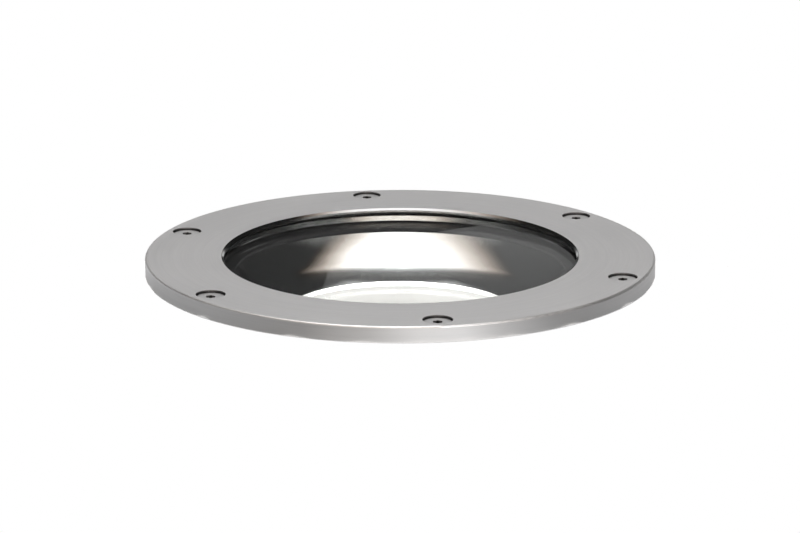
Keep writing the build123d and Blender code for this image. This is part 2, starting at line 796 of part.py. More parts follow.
# Lower reflector: a cup that carries the light up to the bowl's opening
cup_top_r = lip_outer_r + cup_gap
cup_top_z = reflector_lip_z - sheet_drop - cup_gap
cup_bend_z = cup_top_z - cup_collar_h
with BuildPart() as lower_reflector:
    with BuildSketch(Plane.XZ):
        with BuildLine():
            Polyline(
                (cup_low_r, diffuser_z), (diffuser_r, diffuser_z),
                (diffuser_r, diffuser_z + cup_sheet), (cup_low_r + cup_sheet, diffuser_z + cup_sheet),
                (cup_top_r + cup_sheet, cup_bend_z), (cup_top_r + cup_sheet, cup_top_z),
                (cup_top_r, cup_top_z), (cup_top_r, cup_bend_z),
                close=True,
            )
        make_face()
    revolve(axis=Axis.Z)
saved(lower_reflector, "lower_reflector")

# LED engine on its heat spreader
with BuildPart() as diffuser:
    with BuildSketch(Plane.XY.offset(diffuser_low_z)):
        Circle(diffuser_r)
    extrude(amount=diffuser_t)
saved(diffuser, "diffuser")

with BuildPart() as diffuser_frame:
    with BuildSketch(Plane.XZ):
        with BuildLine():
            Polyline(
                (frame_inner_r, spreader_z), (frame_foot_r, spreader_z),
                (frame_foot_r, spreader_z + frame_foot_t), (frame_r, spreader_z + frame_foot_t),
                (frame_r, frame_z), (rebate_r, frame_z), (rebate_r, diffuser_low_z),
                (frame_inner_r, diffuser_low_z),
                close=True,
            )
        make_face()
    revolve(axis=Axis.Z)
    with BuildSketch(Plane.XY.offset(spreader_z)):
        with PolarLocations(frame_screw_r, frame_screw_count):
            Circle(m3_r + thread_gap)
    extrude(amount=frame_foot_t, mode=Mode.SUBTRACT)
saved(diffuser_frame, "diffuser_frame")

frame_screw = cap_screw(
    m3_r, m3_cap_r, m3_cap_h, frame_screw_length, m3_cap_socket_across, screw_bevel
)
with BuildPart() as frame_screws:
    with Locations((0, 0, spreader_z + frame_foot_t)):
        with PolarLocations(frame_screw_r, frame_screw_count):
            add(frame_screw)
saved(frame_screws, "frame_screws")

lead_ys = (driver_centre_y - lead_spacing / 2, driver_centre_y + lead_spacing / 2)
with BuildPart() as led_board:
    with BuildSketch(Plane.XY.offset(spreader_z)):
        Circle(board_r)
        with PolarLocations(
            board_screw_r, board_screw_count, start_angle=board_screw_first_angle
        ):
            Circle(m3_r + thread_gap, mode=Mode.SUBTRACT)
        for lead_y in lead_ys:
            with Locations((lead_x, lead_y)):
                Circle(lead_hole_r, mode=Mode.SUBTRACT)
    extrude(amount=board_t)
saved(led_board, "led_board")

board_screw = cap_screw(
    m3_r, m3_cap_r, m3_cap_h, board_screw_length, m3_cap_socket_across, screw_bevel
)
with BuildPart() as board_screws:
    with Locations((0, 0, board_z)):
        with PolarLocations(
            board_screw_r, board_screw_count, start_angle=board_screw_first_angle
        ):
            add(board_screw)
saved(board_screws, "board_screws")

with BuildPart() as leds:
    for ring_share, ring_count in led_ring_shares:
        with BuildSketch(Plane.XY.offset(board_z)):
            with PolarLocations(ring_share * board_r, ring_count, start_angle=led_first_angle):
                Rectangle(led_size, led_size)
        extrude(amount=led_h)
        with BuildSketch(Plane.XY.offset(board_z + led_h)):
            with PolarLocations(ring_share * board_r, ring_count, start_angle=led_first_angle):
                Circle(led_lens_r)
        extrude(amount=led_lens_h)
saved(leds, "leds")

with BuildPart() as led_connector:
    with BuildSketch(Plane.XY.offset(board_z)):
        with Locations((lead_x - lead_run - connector_x / 2, driver_centre_y)):
            Rectangle(connector_x, connector_y)
    extrude(amount=connector_h)
    chamfer(led_connector.edges().group_by(Axis.Z)[-1], screw_bevel)
saved(led_connector, "led_connector")

with BuildPart() as heat_spreader:
    with BuildSketch(Plane.XY.offset(shoulder_z)):
        Circle(spreader_r)
        with PolarLocations(
            spreader_screw_r, spreader_screw_count, start_angle=spreader_screw_first_angle
        ):
            Circle(m4_r + thread_gap, mode=Mode.SUBTRACT)
        with PolarLocations(frame_screw_r, frame_screw_count):
            Circle(m3_r + thread_gap, mode=Mode.SUBTRACT)
        with PolarLocations(
            board_screw_r, board_screw_count, start_angle=board_screw_first_angle
        ):
            Circle(m3_r + thread_gap, mode=Mode.SUBTRACT)
        for lead_y in lead_ys:
            with Locations((lead_x, lead_y)):
                Circle(lead_hole_r, mode=Mode.SUBTRACT)
    extrude(amount=spreader_t)
saved(heat_spreader, "heat_spreader")

spreader_screw = cap_screw(
    m4_r, m4_head_r, m4_head_h, spreader_screw_length, m4_socket_across, screw_bevel
)
with BuildPart() as spreader_screws:
    with Locations((0, 0, spreader_z)):
        with PolarLocations(
            spreader_screw_r, spreader_screw_count, start_angle=spreader_screw_first_angle
        ):
            add(spreader_screw)
saved(spreader_screws, "spreader_screws")

# Driver: a case with feet, its circuit board and its lid
driver_top_z = can_floor_z + driver_h
lid_low_z = driver_top_z - driver_lid_t
circuit_z = can_floor_z + driver_wall + circuit_stand
circuit_top_z = circuit_z + circuit_t
foot_span = driver_x + 2 * driver_foot_x
with BuildPart() as driver_case:
    with BuildSketch(Plane.XY.offset(can_floor_z)):
        with Locations((0, driver_centre_y)):
            RectangleRounded(driver_x, driver_y, driver_corner_r)
    extrude(amount=driver_h - driver_lid_t)
    with BuildSketch(Plane.XY.offset(can_floor_z)):
        with Locations((0, driver_centre_y)):
            RectangleRounded(foot_span, driver_foot_y, driver_corner_r)
    extrude(amount=driver_foot_t)
    with BuildSketch(Plane.XY.offset(can_floor_z + driver_wall)):
        with Locations((0, driver_centre_y)):
            RectangleRounded(
                driver_x - 2 * driver_wall, driver_y - 2 * driver_wall,
                driver_corner_r - driver_wall,
            )
    extrude(amount=driver_h, mode=Mode.SUBTRACT)
    # Posts under the circuit board
    with BuildSketch(Plane.XY.offset(can_floor_z + driver_wall)):
        with Locations((0, driver_centre_y)):
            with GridLocations(driver_x - 2 * post_inset, driver_y - 2 * post_inset, 2, 2):
                Circle(driver_wall)
    extrude(amount=circuit_stand)
    with BuildSketch(Plane.XY.offset(can_floor_z)):
        for side in (1, -1):
            with Locations((side * (driver_x / 2 + driver_foot_screw_x), driver_centre_y)):
                Circle(m4_r + snug_gap)
    extrude(amount=driver_foot_t, mode=Mode.SUBTRACT)
saved(driver_case, "driver_case")

with BuildPart() as driver_lid:
    with BuildSketch(Plane.XY.offset(lid_low_z)):
        with Locations((0, driver_centre_y)):
            RectangleRounded(driver_x, driver_y, driver_corner_r)
    extrude(amount=driver_lid_t)
    chamfer(driver_lid.edges().group_by(Axis.Z)[-1], screw_bevel)
saved(driver_lid, "driver_lid")

circuit_x = driver_x - 2 * (driver_wall + circuit_gap)
circuit_y = driver_y - 2 * (driver_wall + circuit_gap)
with BuildPart() as driver_circuit:
    with BuildSketch(Plane.XY.offset(circuit_z)):
        with Locations((0, driver_centre_y)):
            Rectangle(circuit_x, circuit_y)
    extrude(amount=circuit_t)
    with BuildSketch(Plane.XY.offset(circuit_top_z)):
        with Locations((0, driver_centre_y)):
            Rectangle(coil_x, coil_y)
    extrude(amount=lid_low_z - coil_gap - circuit_top_z)
    chamfer(driver_circuit.edges().group_by(Axis.Z)[-1], part_edge)
    with BuildSketch(Plane.XY.offset(circuit_top_z)):
        with Locations((0, driver_centre_y)):
            with GridLocations(circuit_x / 2 + coil_x / 2, circuit_y / 2, 2, 2):
                Circle(can_cap_r)
    extrude(amount=lid_low_z - can_cap_gap - circuit_top_z)
saved(driver_circuit, "driver_circuit")

driver_screw = cap_screw(
    m4_r, m4_head_r, m4_head_h, driver_screw_length, m4_socket_across, screw_bevel
)
with BuildPart() as driver_screws:
    with Locations((0, driver_centre_y, can_floor_z + driver_foot_t)):
        with GridLocations(driver_x + 2 * driver_foot_screw_x, 0, 2, 1):
            add(driver_screw)
saved(driver_screws, "driver_screws")

# Terminal block: one port and one lever for each pole, all the levers on one pin
block_top_z = can_floor_z + block_h
hub_y = block_centre_y + lever_hub_y
hub_z = block_top_z - lever_hub_drop
well_x = lever_w + 2 * lever_well_gap
well_back_y = hub_y - lever_l - lever_well_gap
well_front_y = hub_y + lever_hub_drop + lever_well_gap
well_low_z = hub_z - lever_hub_r - lever_well_gap
pole_xs = [pole_spacing * (number - (len(poles) - 1) / 2) for number in range(len(poles))]
with BuildPart() as terminal_block:
    with BuildSketch(Plane.XY.offset(can_floor_z)):
        with Locations((0, block_centre_y)):
            RectangleRounded(block_x, block_y, block_corner_r)
    extrude(amount=block_h)
    with BuildSketch(Plane.XY.offset(can_floor_z)):
        with Locations((0, block_centre_y)):
            RectangleRounded(block_x + 2 * block_ear_x, block_ear_y, block_corner_r)
    extrude(amount=block_ear_t)
    for pole_x in pole_xs:
        with BuildSketch(Plane.XY.offset(well_low_z)):
            with Locations((pole_x, (well_back_y + well_front_y) / 2)):
                Rectangle(well_x, well_front_y - well_back_y)
        extrude(amount=block_h, mode=Mode.SUBTRACT)
    with BuildSketch(Plane.XZ.offset(-port_face_y)):
        for pole_x in pole_xs:
            with Locations((pole_x, port_z)):
                Circle(port_r)
    extrude(amount=port_depth, mode=Mode.SUBTRACT)
    with BuildSketch(Plane.YZ.offset(-block_x / 2)):
        with Locations((hub_y, hub_z)):
            Circle(lever_pin_r + lever_pin_gap)
    extrude(amount=block_x, mode=Mode.SUBTRACT)
    with BuildSketch(Plane.XY.offset(can_floor_z)):
        for side in (1, -1):
            with Locations((side * (block_x + block_ear_x) / 2, block_centre_y)):
                Circle(m3_r + thread_gap)
    extrude(amount=block_ear_t, mode=Mode.SUBTRACT)
saved(terminal_block, "terminal_block")

block_screw = cap_screw(
    m3_r, m3_cap_r, m3_cap_h, block_screw_length, m3_cap_socket_across, screw_bevel
)
with BuildPart() as block_screws:
    with Locations((0, block_centre_y, can_floor_z + block_ear_t)):
        with GridLocations(block_x + block_ear_x, 0, 2, 1):
            add(block_screw)
saved(block_screws, "block_screws")

with BuildPart() as lever_pin:
    with BuildSketch(Plane.YZ.offset(-block_x / 2)):
        with Locations((hub_y, hub_z)):
            Circle(lever_pin_r)
    extrude(amount=block_x)
saved(lever_pin, "lever_pin")

for pole, pole_x in zip(poles, pole_xs):
    with BuildPart() as lever:
        with BuildSketch(Plane.YZ.offset(pole_x - lever_w / 2)):
            with Locations((hub_y, hub_z)):
                Circle(lever_hub_r)
            with Locations((hub_y - lever_l / 2, block_top_z - lever_t / 2)):
                Rectangle(lever_l, lever_t)
            with Locations((hub_y - lever_hub_r / 2, hub_z + lever_hub_r / 2)):
                Rectangle(lever_hub_r, lever_hub_r)
            with Locations((hub_y, hub_z)):
                Circle(lever_pin_r + lever_pin_gap, mode=Mode.SUBTRACT)
        extrude(amount=lever_w)
    saved(lever, f"lever_{pole}")

# Wires that the casting holds: leads to the LEDs, and from the terminals to the driver and the earth
lead_z = board_z + lead_height
for polarity, lead_y in zip(("minus", "plus"), lead_ys):
    lead = wire([
        (lead_x, lead_y, driver_top_z), (lead_x, lead_y, lead_z), (lead_x - lead_run, lead_y, lead_z),
    ])
    saved(lead, f"led_lead_{polarity}")

driver_face_y = driver_centre_y - driver_y / 2
wire_start_y = port_face_y - port_insert
for pole, pole_x in zip(poles[1:], pole_xs[1:]):
    mains_lead = wire([
        (pole_x, wire_start_y, port_z), (pole_x, port_face_y + mains_run, port_z),
        (pole_x + mains_step, driver_face_y - mains_run, port_z),
        (pole_x + mains_step, driver_face_y, port_z),
    ])
    saved(mains_lead, f"mains_lead_{pole}")

barrel_start_y = earth_y + lug_r
barrel_end_y = barrel_start_y + lug_barrel_l
earth_turn_y = port_face_y + earth_run
earth_lead = wire([
    (pole_xs[0], wire_start_y, port_z), (pole_xs[0], earth_turn_y, port_z),
    (earth_x, earth_turn_y, port_z), (earth_x, barrel_end_y, port_z),
])
saved(earth_lead, "earth_lead")

with BuildPart() as earth_lug:
    with BuildSketch(Plane.XY.offset(earth_boss_z)):
        with Locations((earth_x, earth_y)):
            Circle(lug_r)
        with Locations((earth_x, (earth_y + barrel_end_y) / 2)):
            Rectangle(2 * lug_barrel_r, barrel_end_y - earth_y)
    extrude(amount=lug_t)
    with BuildSketch(Plane.XZ.offset(-barrel_start_y)):
        with Locations((earth_x, port_z)):
            Circle(lug_barrel_r)
    extrude(amount=-lug_barrel_l)
    with BuildSketch(Plane.XY.offset(earth_boss_z)):
        with Locations((earth_x, earth_y)):
            Circle(m5_r + thread_gap)
    extrude(amount=lug_t + overrun, mode=Mode.SUBTRACT)
saved(earth_lug, "earth_lug")

with BuildPart() as earth_washer:
    with BuildSketch(Plane.XY.offset(earth_boss_z + lug_t)):
        with Locations((earth_x, earth_y)):
            Circle(washer_r)
            Circle(m5_r + thread_gap, mode=Mode.SUBTRACT)
    extrude(amount=washer_t)
saved(earth_washer, "earth_washer")

m5_screw = cap_screw(m5_r, m5_head_r, m5_head_h, m5_length, m5_socket_across, screw_bevel)
with BuildPart() as earth_screw:
    with Locations((earth_x, earth_y, earth_boss_z + lug_t + washer_t)):
        add(m5_screw)
saved(earth_screw, "earth_screw")

# Cable glands: washer, body, rubber insert and dome nut, each drawn along +X and turned to its side
washer_x = pad_x + gland_washer_t
hex_x = washer_x + gland_hex_t
barrel_x = hex_x + gland_barrel_l
nut_start_x = hex_x + gland_nut_face_gap
nut_end_x = nut_start_x + gland_nut_l
insert_start_x = barrel_x - gland_seal_l
gland_axis = Axis((0, 0, gland_z), (1, 0, 0))
gland_hex_plane = Plane(origin=(washer_x, 0, gland_z), x_dir=(0, 1, 0), z_dir=(1, 0, 0))
gland_nut_plane = Plane(origin=(nut_start_x, 0, gland_z), x_dir=(0, 1, 0), z_dir=(1, 0, 0))


def along_gland(points):
    """Turns (distance along the gland, radius) points into points of the XZ plane."""
    return [(distance, gland_z + radius) for distance, radius in points]


with BuildPart() as gland_washer:
    with BuildSketch(Plane.XZ):
        with BuildLine():
            Polyline(
                *along_gland([
                    (pad_x, gland_thread_r + snug_gap), (washer_x, gland_thread_r + snug_gap),
                    (washer_x, gland_washer_r), (pad_x, gland_washer_r),
                ]),
                close=True,
            )
        make_face()
    revolve(axis=gland_axis)

with BuildPart() as gland_body:
    with BuildSketch(gland_hex_plane):
        RegularPolygon(gland_hex_across / 2, 6, major_radius=False)
    extrude(amount=gland_hex_t)
    with BuildSketch(Plane.XZ):
        with BuildLine():
            Polyline(
                *along_gland([
                    (can_inner_r - gland_inner_l, 0), (can_inner_r - gland_inner_l, gland_thread_r),
                    (washer_x, gland_thread_r), (hex_x, gland_barrel_r), (barrel_x, gland_barrel_r),
                    (barrel_x, 0),
                ]),
                close=True,
            )
        make_face()
    revolve(axis=gland_axis)
    with BuildSketch(Plane.XZ):
        with BuildLine():
            Polyline(
                *along_gland([
                    (can_inner_r - gland_inner_l, 0),
                    (can_inner_r - gland_inner_l, gland_through_r),
                    (insert_start_x, gland_through_r),
                    (insert_start_x, gland_bore_r), (barrel_x, gland_bore_r), (barrel_x, 0),
                ]),
                close=True,
            )
        make_face()
    revolve(axis=gland_axis, mode=Mode.SUBTRACT)

with BuildPart() as gland_seal:
    with BuildSketch(Plane.XZ):
        with BuildLine():
            Polyline(
                *along_gland([
                    (insert_start_x, gland_seal_r), (barrel_x, gland_seal_r),
                    (barrel_x, gland_bore_r - snug_gap), (insert_start_x, gland_bore_r - snug_gap),
                ]),
                close=True,
            )
        make_face()
    revolve(axis=gland_axis)

nut_bore_r = gland_barrel_r + body_gap
with BuildPart() as gland_nut:
    with BuildSketch(gland_nut_plane):
        RegularPolygon(gland_nut_across / 2, 6, major_radius=False)
    extrude(amount=gland_nut_l)
    with BuildSketch(Plane.XZ):
        with BuildLine():
            Polyline(
                *along_gland([
                    (nut_start_x, 0), (nut_start_x, gland_nut_across),
                    (nut_end_x - gland_nut_round, gland_nut_across / 2 + gland_nut_round),
                    (nut_end_x, gland_nut_across / 2 - gland_nut_round), (nut_end_x, 0),
                ]),
                close=True,
            )
        make_face()
    revolve(axis=gland_axis, mode=Mode.INTERSECT)
    with BuildSketch(Plane.XZ):
        with BuildLine():
            Polyline(
                *along_gland([
                    (nut_start_x, 0), (nut_start_x, nut_bore_r),
                    (nut_end_x - gland_nut_lip_t, nut_bore_r),
                    (nut_end_x - gland_nut_lip_t, gland_nut_mouth_r),
                    (nut_end_x, gland_nut_mouth_r), (nut_end_x, 0),
                ]),
                close=True,
            )
        make_face()
    revolve(axis=gland_axis, mode=Mode.SUBTRACT)

gland_pieces = {
    "gland_washer": gland_washer, "gland_body": gland_body, "gland_seal": gland_seal,
    "gland_nut": gland_nut,
}
for side, turn in (("right", 0), ("left", 180)):
    for name, piece in gland_pieces.items():
        with BuildPart() as placed:
            with Locations(Location((0, 0, 0), (0, 0, turn))):
                add(piece.part)
        saved(placed, f"{name}_{side}")

# Breather plug at the back, drawn along the can's radius towards -Y
vent_washer_y = pad_x + vent_washer_t
vent_head_y = vent_washer_y + vent_head_t
vent_cap_y = vent_head_y + vent_cap_t
with BuildPart() as vent_washer:
    with BuildSketch(Plane.XZ.offset(pad_x)):
        with Locations((0, gland_z)):
            Circle(vent_washer_r)
            Circle(vent_thread_r + snug_gap, mode=Mode.SUBTRACT)
    extrude(amount=vent_washer_t)
saved(vent_washer, "vent_washer")

with BuildPart() as vent_plug:
    with BuildSketch(Plane.XZ.offset(can_inner_r - vent_inner_l)):
        with Locations((0, gland_z)):
            Circle(vent_thread_r)
    extrude(amount=vent_washer_y - can_inner_r + vent_inner_l)
    with BuildSketch(Plane.XZ.offset(vent_washer_y)):
        with Locations((0, gland_z)):
            RegularPolygon(vent_head_across / 2, 6, major_radius=False)
    extrude(amount=vent_head_t)
    with BuildSketch(Plane.XZ.offset(vent_head_y)):
        with Locations((0, gland_z)):
            Circle(vent_cap_r)
    extrude(amount=vent_cap_t)
    with BuildSketch(Plane.XZ.offset(vent_head_y + vent_cap_t / 2)):
        with Locations((0, gland_z)):
            with PolarLocations(0, vent_slot_count // 2, angular_range=180):
                Rectangle(2 * vent_cap_r, vent_slot_w)
    extrude(amount=vent_cap_t, mode=Mode.SUBTRACT)
    with BuildSketch(Plane.XZ.offset(vent_head_y - vent_disc_depth)):
        with Locations((0, gland_z)):
            Circle(vent_disc_r + snug_gap)
    extrude(amount=vent_cap_t + overrun, mode=Mode.SUBTRACT)
    with BuildSketch(Plane.XZ.offset(can_inner_r - vent_inner_l)):
        with Locations((0, gland_z)):
            Circle(vent_bore_r)
    extrude(amount=vent_cap_y, mode=Mode.SUBTRACT)
saved(vent_plug, "vent_plug")

with BuildPart() as vent_membrane:
    with BuildSketch(Plane.XZ.offset(vent_head_y - vent_disc_depth)):
        with Locations((0, gland_z)):
            Circle(vent_disc_r)
    extrude(amount=vent_disc_t)
saved(vent_membrane, "vent_membrane")

# Installation housing: the ribbed wall of the sleeve, with its rim and a hole for each conduit
with BuildPart() as installation_housing:
    with BuildSketch(Plane.XZ):
        with BuildLine():
            Polyline(
                (sleeve_inner_r, foot_z), (sleeve_r, foot_z), (sleeve_r, seat_z - sleeve_rim_t),
                (sleeve_rim_r, seat_z - sleeve_rim_t), (sleeve_rim_r, seat_z),
                (sleeve_mouth_r, seat_z), (sleeve_mouth_r, seat_z - sleeve_rim_t),
                (sleeve_inner_r, seat_z - sleeve_rim_t),
                close=True,
            )
        make_face()
    revolve(axis=Axis.Z)
    # Stiffening ribs and hoops on the outside
    with BuildSketch(Plane.XY.offset(foot_z)):
        with PolarLocations(
            sleeve_r + (sleeve_rib_reach - sleeve_wall) / 2, sleeve_rib_count,
            start_angle=sleeve_rib_first_angle,
        ):
            Rectangle(sleeve_rib_reach + sleeve_wall, sleeve_rib_t)
    extrude(amount=seat_z - sleeve_rim_t / 2 - foot_z)
    for hoop_share in hoop_shares:
        with BuildSketch(Plane.XY.offset(seat_z - hoop_share * (seat_z - sleeve_low_z))):
            Circle(sleeve_r + hoop_reach)
            Circle(sleeve_r - sleeve_wall / 2, mode=Mode.SUBTRACT)
        extrude(amount=hoop_t)
    # Bosses for the inserts, and a hole for each conduit
    with BuildSketch(Plane.XY.offset(seat_z)):
        with PolarLocations(insert_pitch_r, insert_count, start_angle=insert_angle):
            Circle(insert_boss_r)
    extrude(amount=-insert_boss_h)
    with BuildSketch(Plane.YZ):
        with Locations((0, conduit_z)):
            Circle(conduit_hole_r)
    extrude(amount=sleeve_r, both=True, mode=Mode.SUBTRACT)
    # Holes for the inserts
    with BuildSketch(Plane.XY.offset(seat_z)):
        with PolarLocations(insert_pitch_r, insert_count, start_angle=insert_angle):
            Circle(insert_r + thread_gap)
    extrude(amount=-insert_l, mode=Mode.SUBTRACT)
saved(installation_housing, "installation_housing")

# Conduit sockets, shaped to the wall that they are bonded to
for side, side_name in ((1, "right"), (-1, "left")):
    with BuildPart() as conduit_socket:
        with BuildSketch(Plane.YZ.offset(side * (sleeve_r - conduit_stop_t))):
            with Locations((0, conduit_z)):
                Circle(conduit_boss_r)
                Circle(conduit_hole_r, mode=Mode.SUBTRACT)
        extrude(amount=side * (conduit_face_x - sleeve_r + conduit_stop_t))
        with BuildSketch(Plane.YZ.offset(side * conduit_stop_x)):
            with Locations((0, conduit_z)):
                Circle(conduit_r)
        extrude(amount=side * conduit_depth, mode=Mode.SUBTRACT)
        with BuildSketch(Plane.XY.offset(conduit_z - conduit_boss_r)):
            Circle(sleeve_r)
        extrude(amount=2 * conduit_boss_r, mode=Mode.SUBTRACT)
    saved(conduit_socket, f"conduit_socket_{side_name}")

# Base of the sleeve: its foot, and a floor that centres the wall
base_edge_r = sleeve_inner_r - snug_gap
with BuildPart() as sleeve_base:
    with BuildSketch(Plane.XZ):
        with BuildLine():
            Polyline(
                (drain_r, sleeve_low_z), (sleeve_rim_r, sleeve_low_z), (sleeve_rim_r, foot_z),
                (base_edge_r, foot_z), (base_edge_r, sleeve_floor_z),
                (drain_r + drain_rebate, sleeve_floor_z),
                (drain_r + drain_rebate, sleeve_floor_z - drain_grate_t),
                (drain_r, sleeve_floor_z - drain_grate_t),
                close=True,
            )
        make_face()
    revolve(axis=Axis.Z)
    # Holes for screws in the foot
    with BuildSketch(Plane.XY.offset(sleeve_low_z)):
        with PolarLocations(foot_pitch_r, foot_hole_count, start_angle=foot_first_angle):
            Circle(foot_hole_r)
    extrude(amount=sleeve_foot_t, mode=Mode.SUBTRACT)
saved(sleeve_base, "sleeve_base")

with BuildPart() as flange_inserts:
    with BuildSketch(Plane.XY.offset(seat_z)):
        with PolarLocations(insert_pitch_r, insert_count, start_angle=insert_angle):
            Circle(insert_r)
            Circle(m5_r + thread_gap, mode=Mode.SUBTRACT)
    extrude(amount=-insert_l)
saved(flange_inserts, "flange_inserts")

with BuildPart() as flange_gasket:
    with BuildSketch(Plane.XY.offset(seat_z)):
        Circle(flange_r)
        Circle(sleeve_mouth_r, mode=Mode.SUBTRACT)
        with PolarLocations(insert_pitch_r, insert_count, start_angle=insert_angle):
            Circle(m5_r + screw_hole_gap, mode=Mode.SUBTRACT)
    extrude(amount=flange_gasket_t)
saved(flange_gasket, "flange_gasket")

with BuildPart() as drain_grate:
    with BuildSketch(Plane.XY.offset(sleeve_floor_z - drain_grate_t)):
        Circle(drain_r + drain_rebate - snug_gap)
        for circle_share, circle_count in drain_circle_shares:
            with PolarLocations(circle_share * drain_r, circle_count):
                Circle(drain_hole_r, mode=Mode.SUBTRACT)
    extrude(amount=drain_grate_t)
saved(drain_grate, "drain_grate")

# Plug in the conduit socket that is not used, with a tab to pull it out by
plug_r = conduit_r - body_gap
plug_inner_x = conduit_face_x - plug_l
with BuildPart() as conduit_plug:
    with BuildSketch(Plane.YZ.offset(-plug_inner_x)):
        with Locations((0, conduit_z)):
            Circle(plug_r)
    extrude(amount=-plug_l)
    with BuildSketch(Plane.YZ.offset(-plug_inner_x - plug_face_t)):
        with Locations((0, conduit_z)):
            Circle(plug_r - plug_wall)
    extrude(amount=-plug_l, mode=Mode.SUBTRACT)
    with BuildSketch(Plane.YZ.offset(-plug_inner_x - plug_face_t / 2)):
        with Locations((0, conduit_z)):
            Rectangle(2 * (plug_r - plug_wall / 2), plug_tab_t)
    extrude(amount=-plug_tab_h)
saved(conduit_plug, "conduit_plug")
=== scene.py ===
"""Dresses a recessed ground light around its CAD frame and lights it for a product picture."""

import json
import logging
from collections.abc import Mapping, Sequence
from dataclasses import dataclass
from enum import Enum, StrEnum, auto
from math import atan2, cos, pi, radians, sin
from typing import ClassVar

import bmesh
import bpy
from bpy.types import Camera, Material, Mesh, Node, NodeSocket, NodeTree, Object, World
from mathutils import Matrix, Vector

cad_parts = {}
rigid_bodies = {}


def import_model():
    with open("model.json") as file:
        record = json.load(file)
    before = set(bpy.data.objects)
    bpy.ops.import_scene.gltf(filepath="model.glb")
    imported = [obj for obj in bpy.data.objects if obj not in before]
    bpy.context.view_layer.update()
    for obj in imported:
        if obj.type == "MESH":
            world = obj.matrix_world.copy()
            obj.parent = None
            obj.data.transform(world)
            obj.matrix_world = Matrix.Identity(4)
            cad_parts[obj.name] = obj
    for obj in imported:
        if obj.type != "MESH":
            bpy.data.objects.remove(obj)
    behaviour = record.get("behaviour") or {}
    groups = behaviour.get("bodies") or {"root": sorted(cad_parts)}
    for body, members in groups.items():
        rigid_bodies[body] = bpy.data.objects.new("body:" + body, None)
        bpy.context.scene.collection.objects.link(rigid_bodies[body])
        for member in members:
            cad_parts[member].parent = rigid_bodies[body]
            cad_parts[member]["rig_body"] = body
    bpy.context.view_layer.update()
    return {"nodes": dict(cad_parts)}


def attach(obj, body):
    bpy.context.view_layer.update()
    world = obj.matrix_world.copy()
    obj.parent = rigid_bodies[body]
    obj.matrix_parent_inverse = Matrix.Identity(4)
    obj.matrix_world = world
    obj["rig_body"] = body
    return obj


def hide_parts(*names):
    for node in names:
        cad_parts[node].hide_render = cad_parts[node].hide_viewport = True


for leftover in list(bpy.data.objects):
    bpy.data.objects.remove(leftover, do_unlink=True)
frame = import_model()

log = logging.getLogger("ground_light")

Colour = tuple[float, float, float]
Outline = list[tuple[float, float]]
Value = float | tuple[float, ...] | NodeSocket
Outputs = dict[str, NodeSocket]
Sockets = Mapping[str, NodeSocket]

MILLIMETRE = 0.001
SHARP_CORNER = 28.0
# Colour of the painted shade in recesses and inner corners.
PAINTED_SHADE: Colour = (0.02, 0.02, 0.022)
WHITE: Colour = (1.0, 1.0, 1.0)


def put(tree: NodeTree, kind: str, inputs: dict[str | int, Value] | None = None, **settings: object) -> Node:
    """Adds a shader node to a tree, and sets or links its inputs.

    Args:
        tree: the tree that takes the node.
        kind: the node's type name.
        inputs: a value or another node's output for each input, by name or number.
        **settings: properties of the node itself, such as its operation.

    Returns:
        The new node.
    """
    node = tree.nodes.new(kind)
    for name, value in settings.items():
        setattr(node, name, value)
    for name, value in (inputs or {}).items():
        if isinstance(value, NodeSocket):
            tree.links.new(value, node.inputs[name])
        else:
            node.inputs[name].default_value = value
    return node


def sum_up(tree: NodeTree, operation: str, *terms: Value) -> NodeSocket:
    """Adds a Math node for an operation on numbers or other nodes' outputs."""
    return put(tree, "ShaderNodeMath", dict(enumerate(terms)), operation=operation).outputs[0]


def blend(tree: NodeTree, share: Value, first: Value, second: Value) -> NodeSocket:
    """Mixes two colours, by the share of the second one from 0 to 1."""
    first, second = (end if isinstance(end, NodeSocket) else (*end, 1.0) for end in (first, second))
    return put(tree, "ShaderNodeMix", {0: share, 6: first, 7: second}, data_type="RGBA").outputs[2]


def place_on(tree: NodeTree) -> NodeSocket:
    """Places on the piece, in its own coordinates."""
    return put(tree, "ShaderNodeTexCoord").outputs["Object"]


def height_on(tree: NodeTree) -> NodeSocket:
    """Heights on the piece."""
    return put(tree, "ShaderNodeSeparateXYZ", {0: place_on(tree)}).outputs["Z"]


def vector_math(tree: NodeTree, operation: str, *terms: Value) -> Node:
    """Adds a Vector Math node for an operation on vectors."""
    return put(tree, "ShaderNodeVectorMath", dict(enumerate(terms)), operation=operation)


def flat_place_on(tree: NodeTree) -> NodeSocket:
    """Places on the piece as seen from above."""
    return vector_math(tree, "MULTIPLY", place_on(tree), (1.0, 1.0, 0.0)).outputs[0]


def radius_on(tree: NodeTree) -> NodeSocket:
    """Distances from the part's axis."""
    return vector_math(tree, "LENGTH", flat_place_on(tree)).outputs["Value"]


def stretch(
    tree: NodeTree, value: Value, low: float, high: float, first: Value = 0.0, last: Value = 1.0
) -> NodeSocket:
    """Maps a value's range from low to high onto one from first to last."""
    ends = {"From Min": low, "From Max": high, "To Min": first, "To Max": last}
    return put(tree, "ShaderNodeMapRange", {"Value": value, **ends}).outputs[0]


def noise(tree: NodeTree, place: NodeSocket, scale: Value, detail: float, **others: float) -> NodeSocket:
    """Adds a noise of a given fineness and number of finer layers, whose values lie about 0.5."""
    inputs = {"Vector": place, "Scale": scale, "Detail": detail, **others}
    return put(tree, "ShaderNodeTexNoise", inputs).outputs["Fac"]


def cleared(owner: Material | World) -> NodeTree:
    """Turns a material's or world's nodes on, and empties them.

    Args:
        owner: what the nodes belong to.

    Returns:
        Its empty node tree.
    """
    owner.use_nodes = True
    owner.node_tree.nodes.clear()
    return owner.node_tree


def added(name: str, data: Mesh | Camera) -> Object:
    """Adds an object to the scene.

    Args:
        name: its name.
        data: its mesh or camera.

    Returns:
        The object.
    """
    made = bpy.data.objects.new(name, data)
    bpy.context.scene.collection.objects.link(made)
    return made


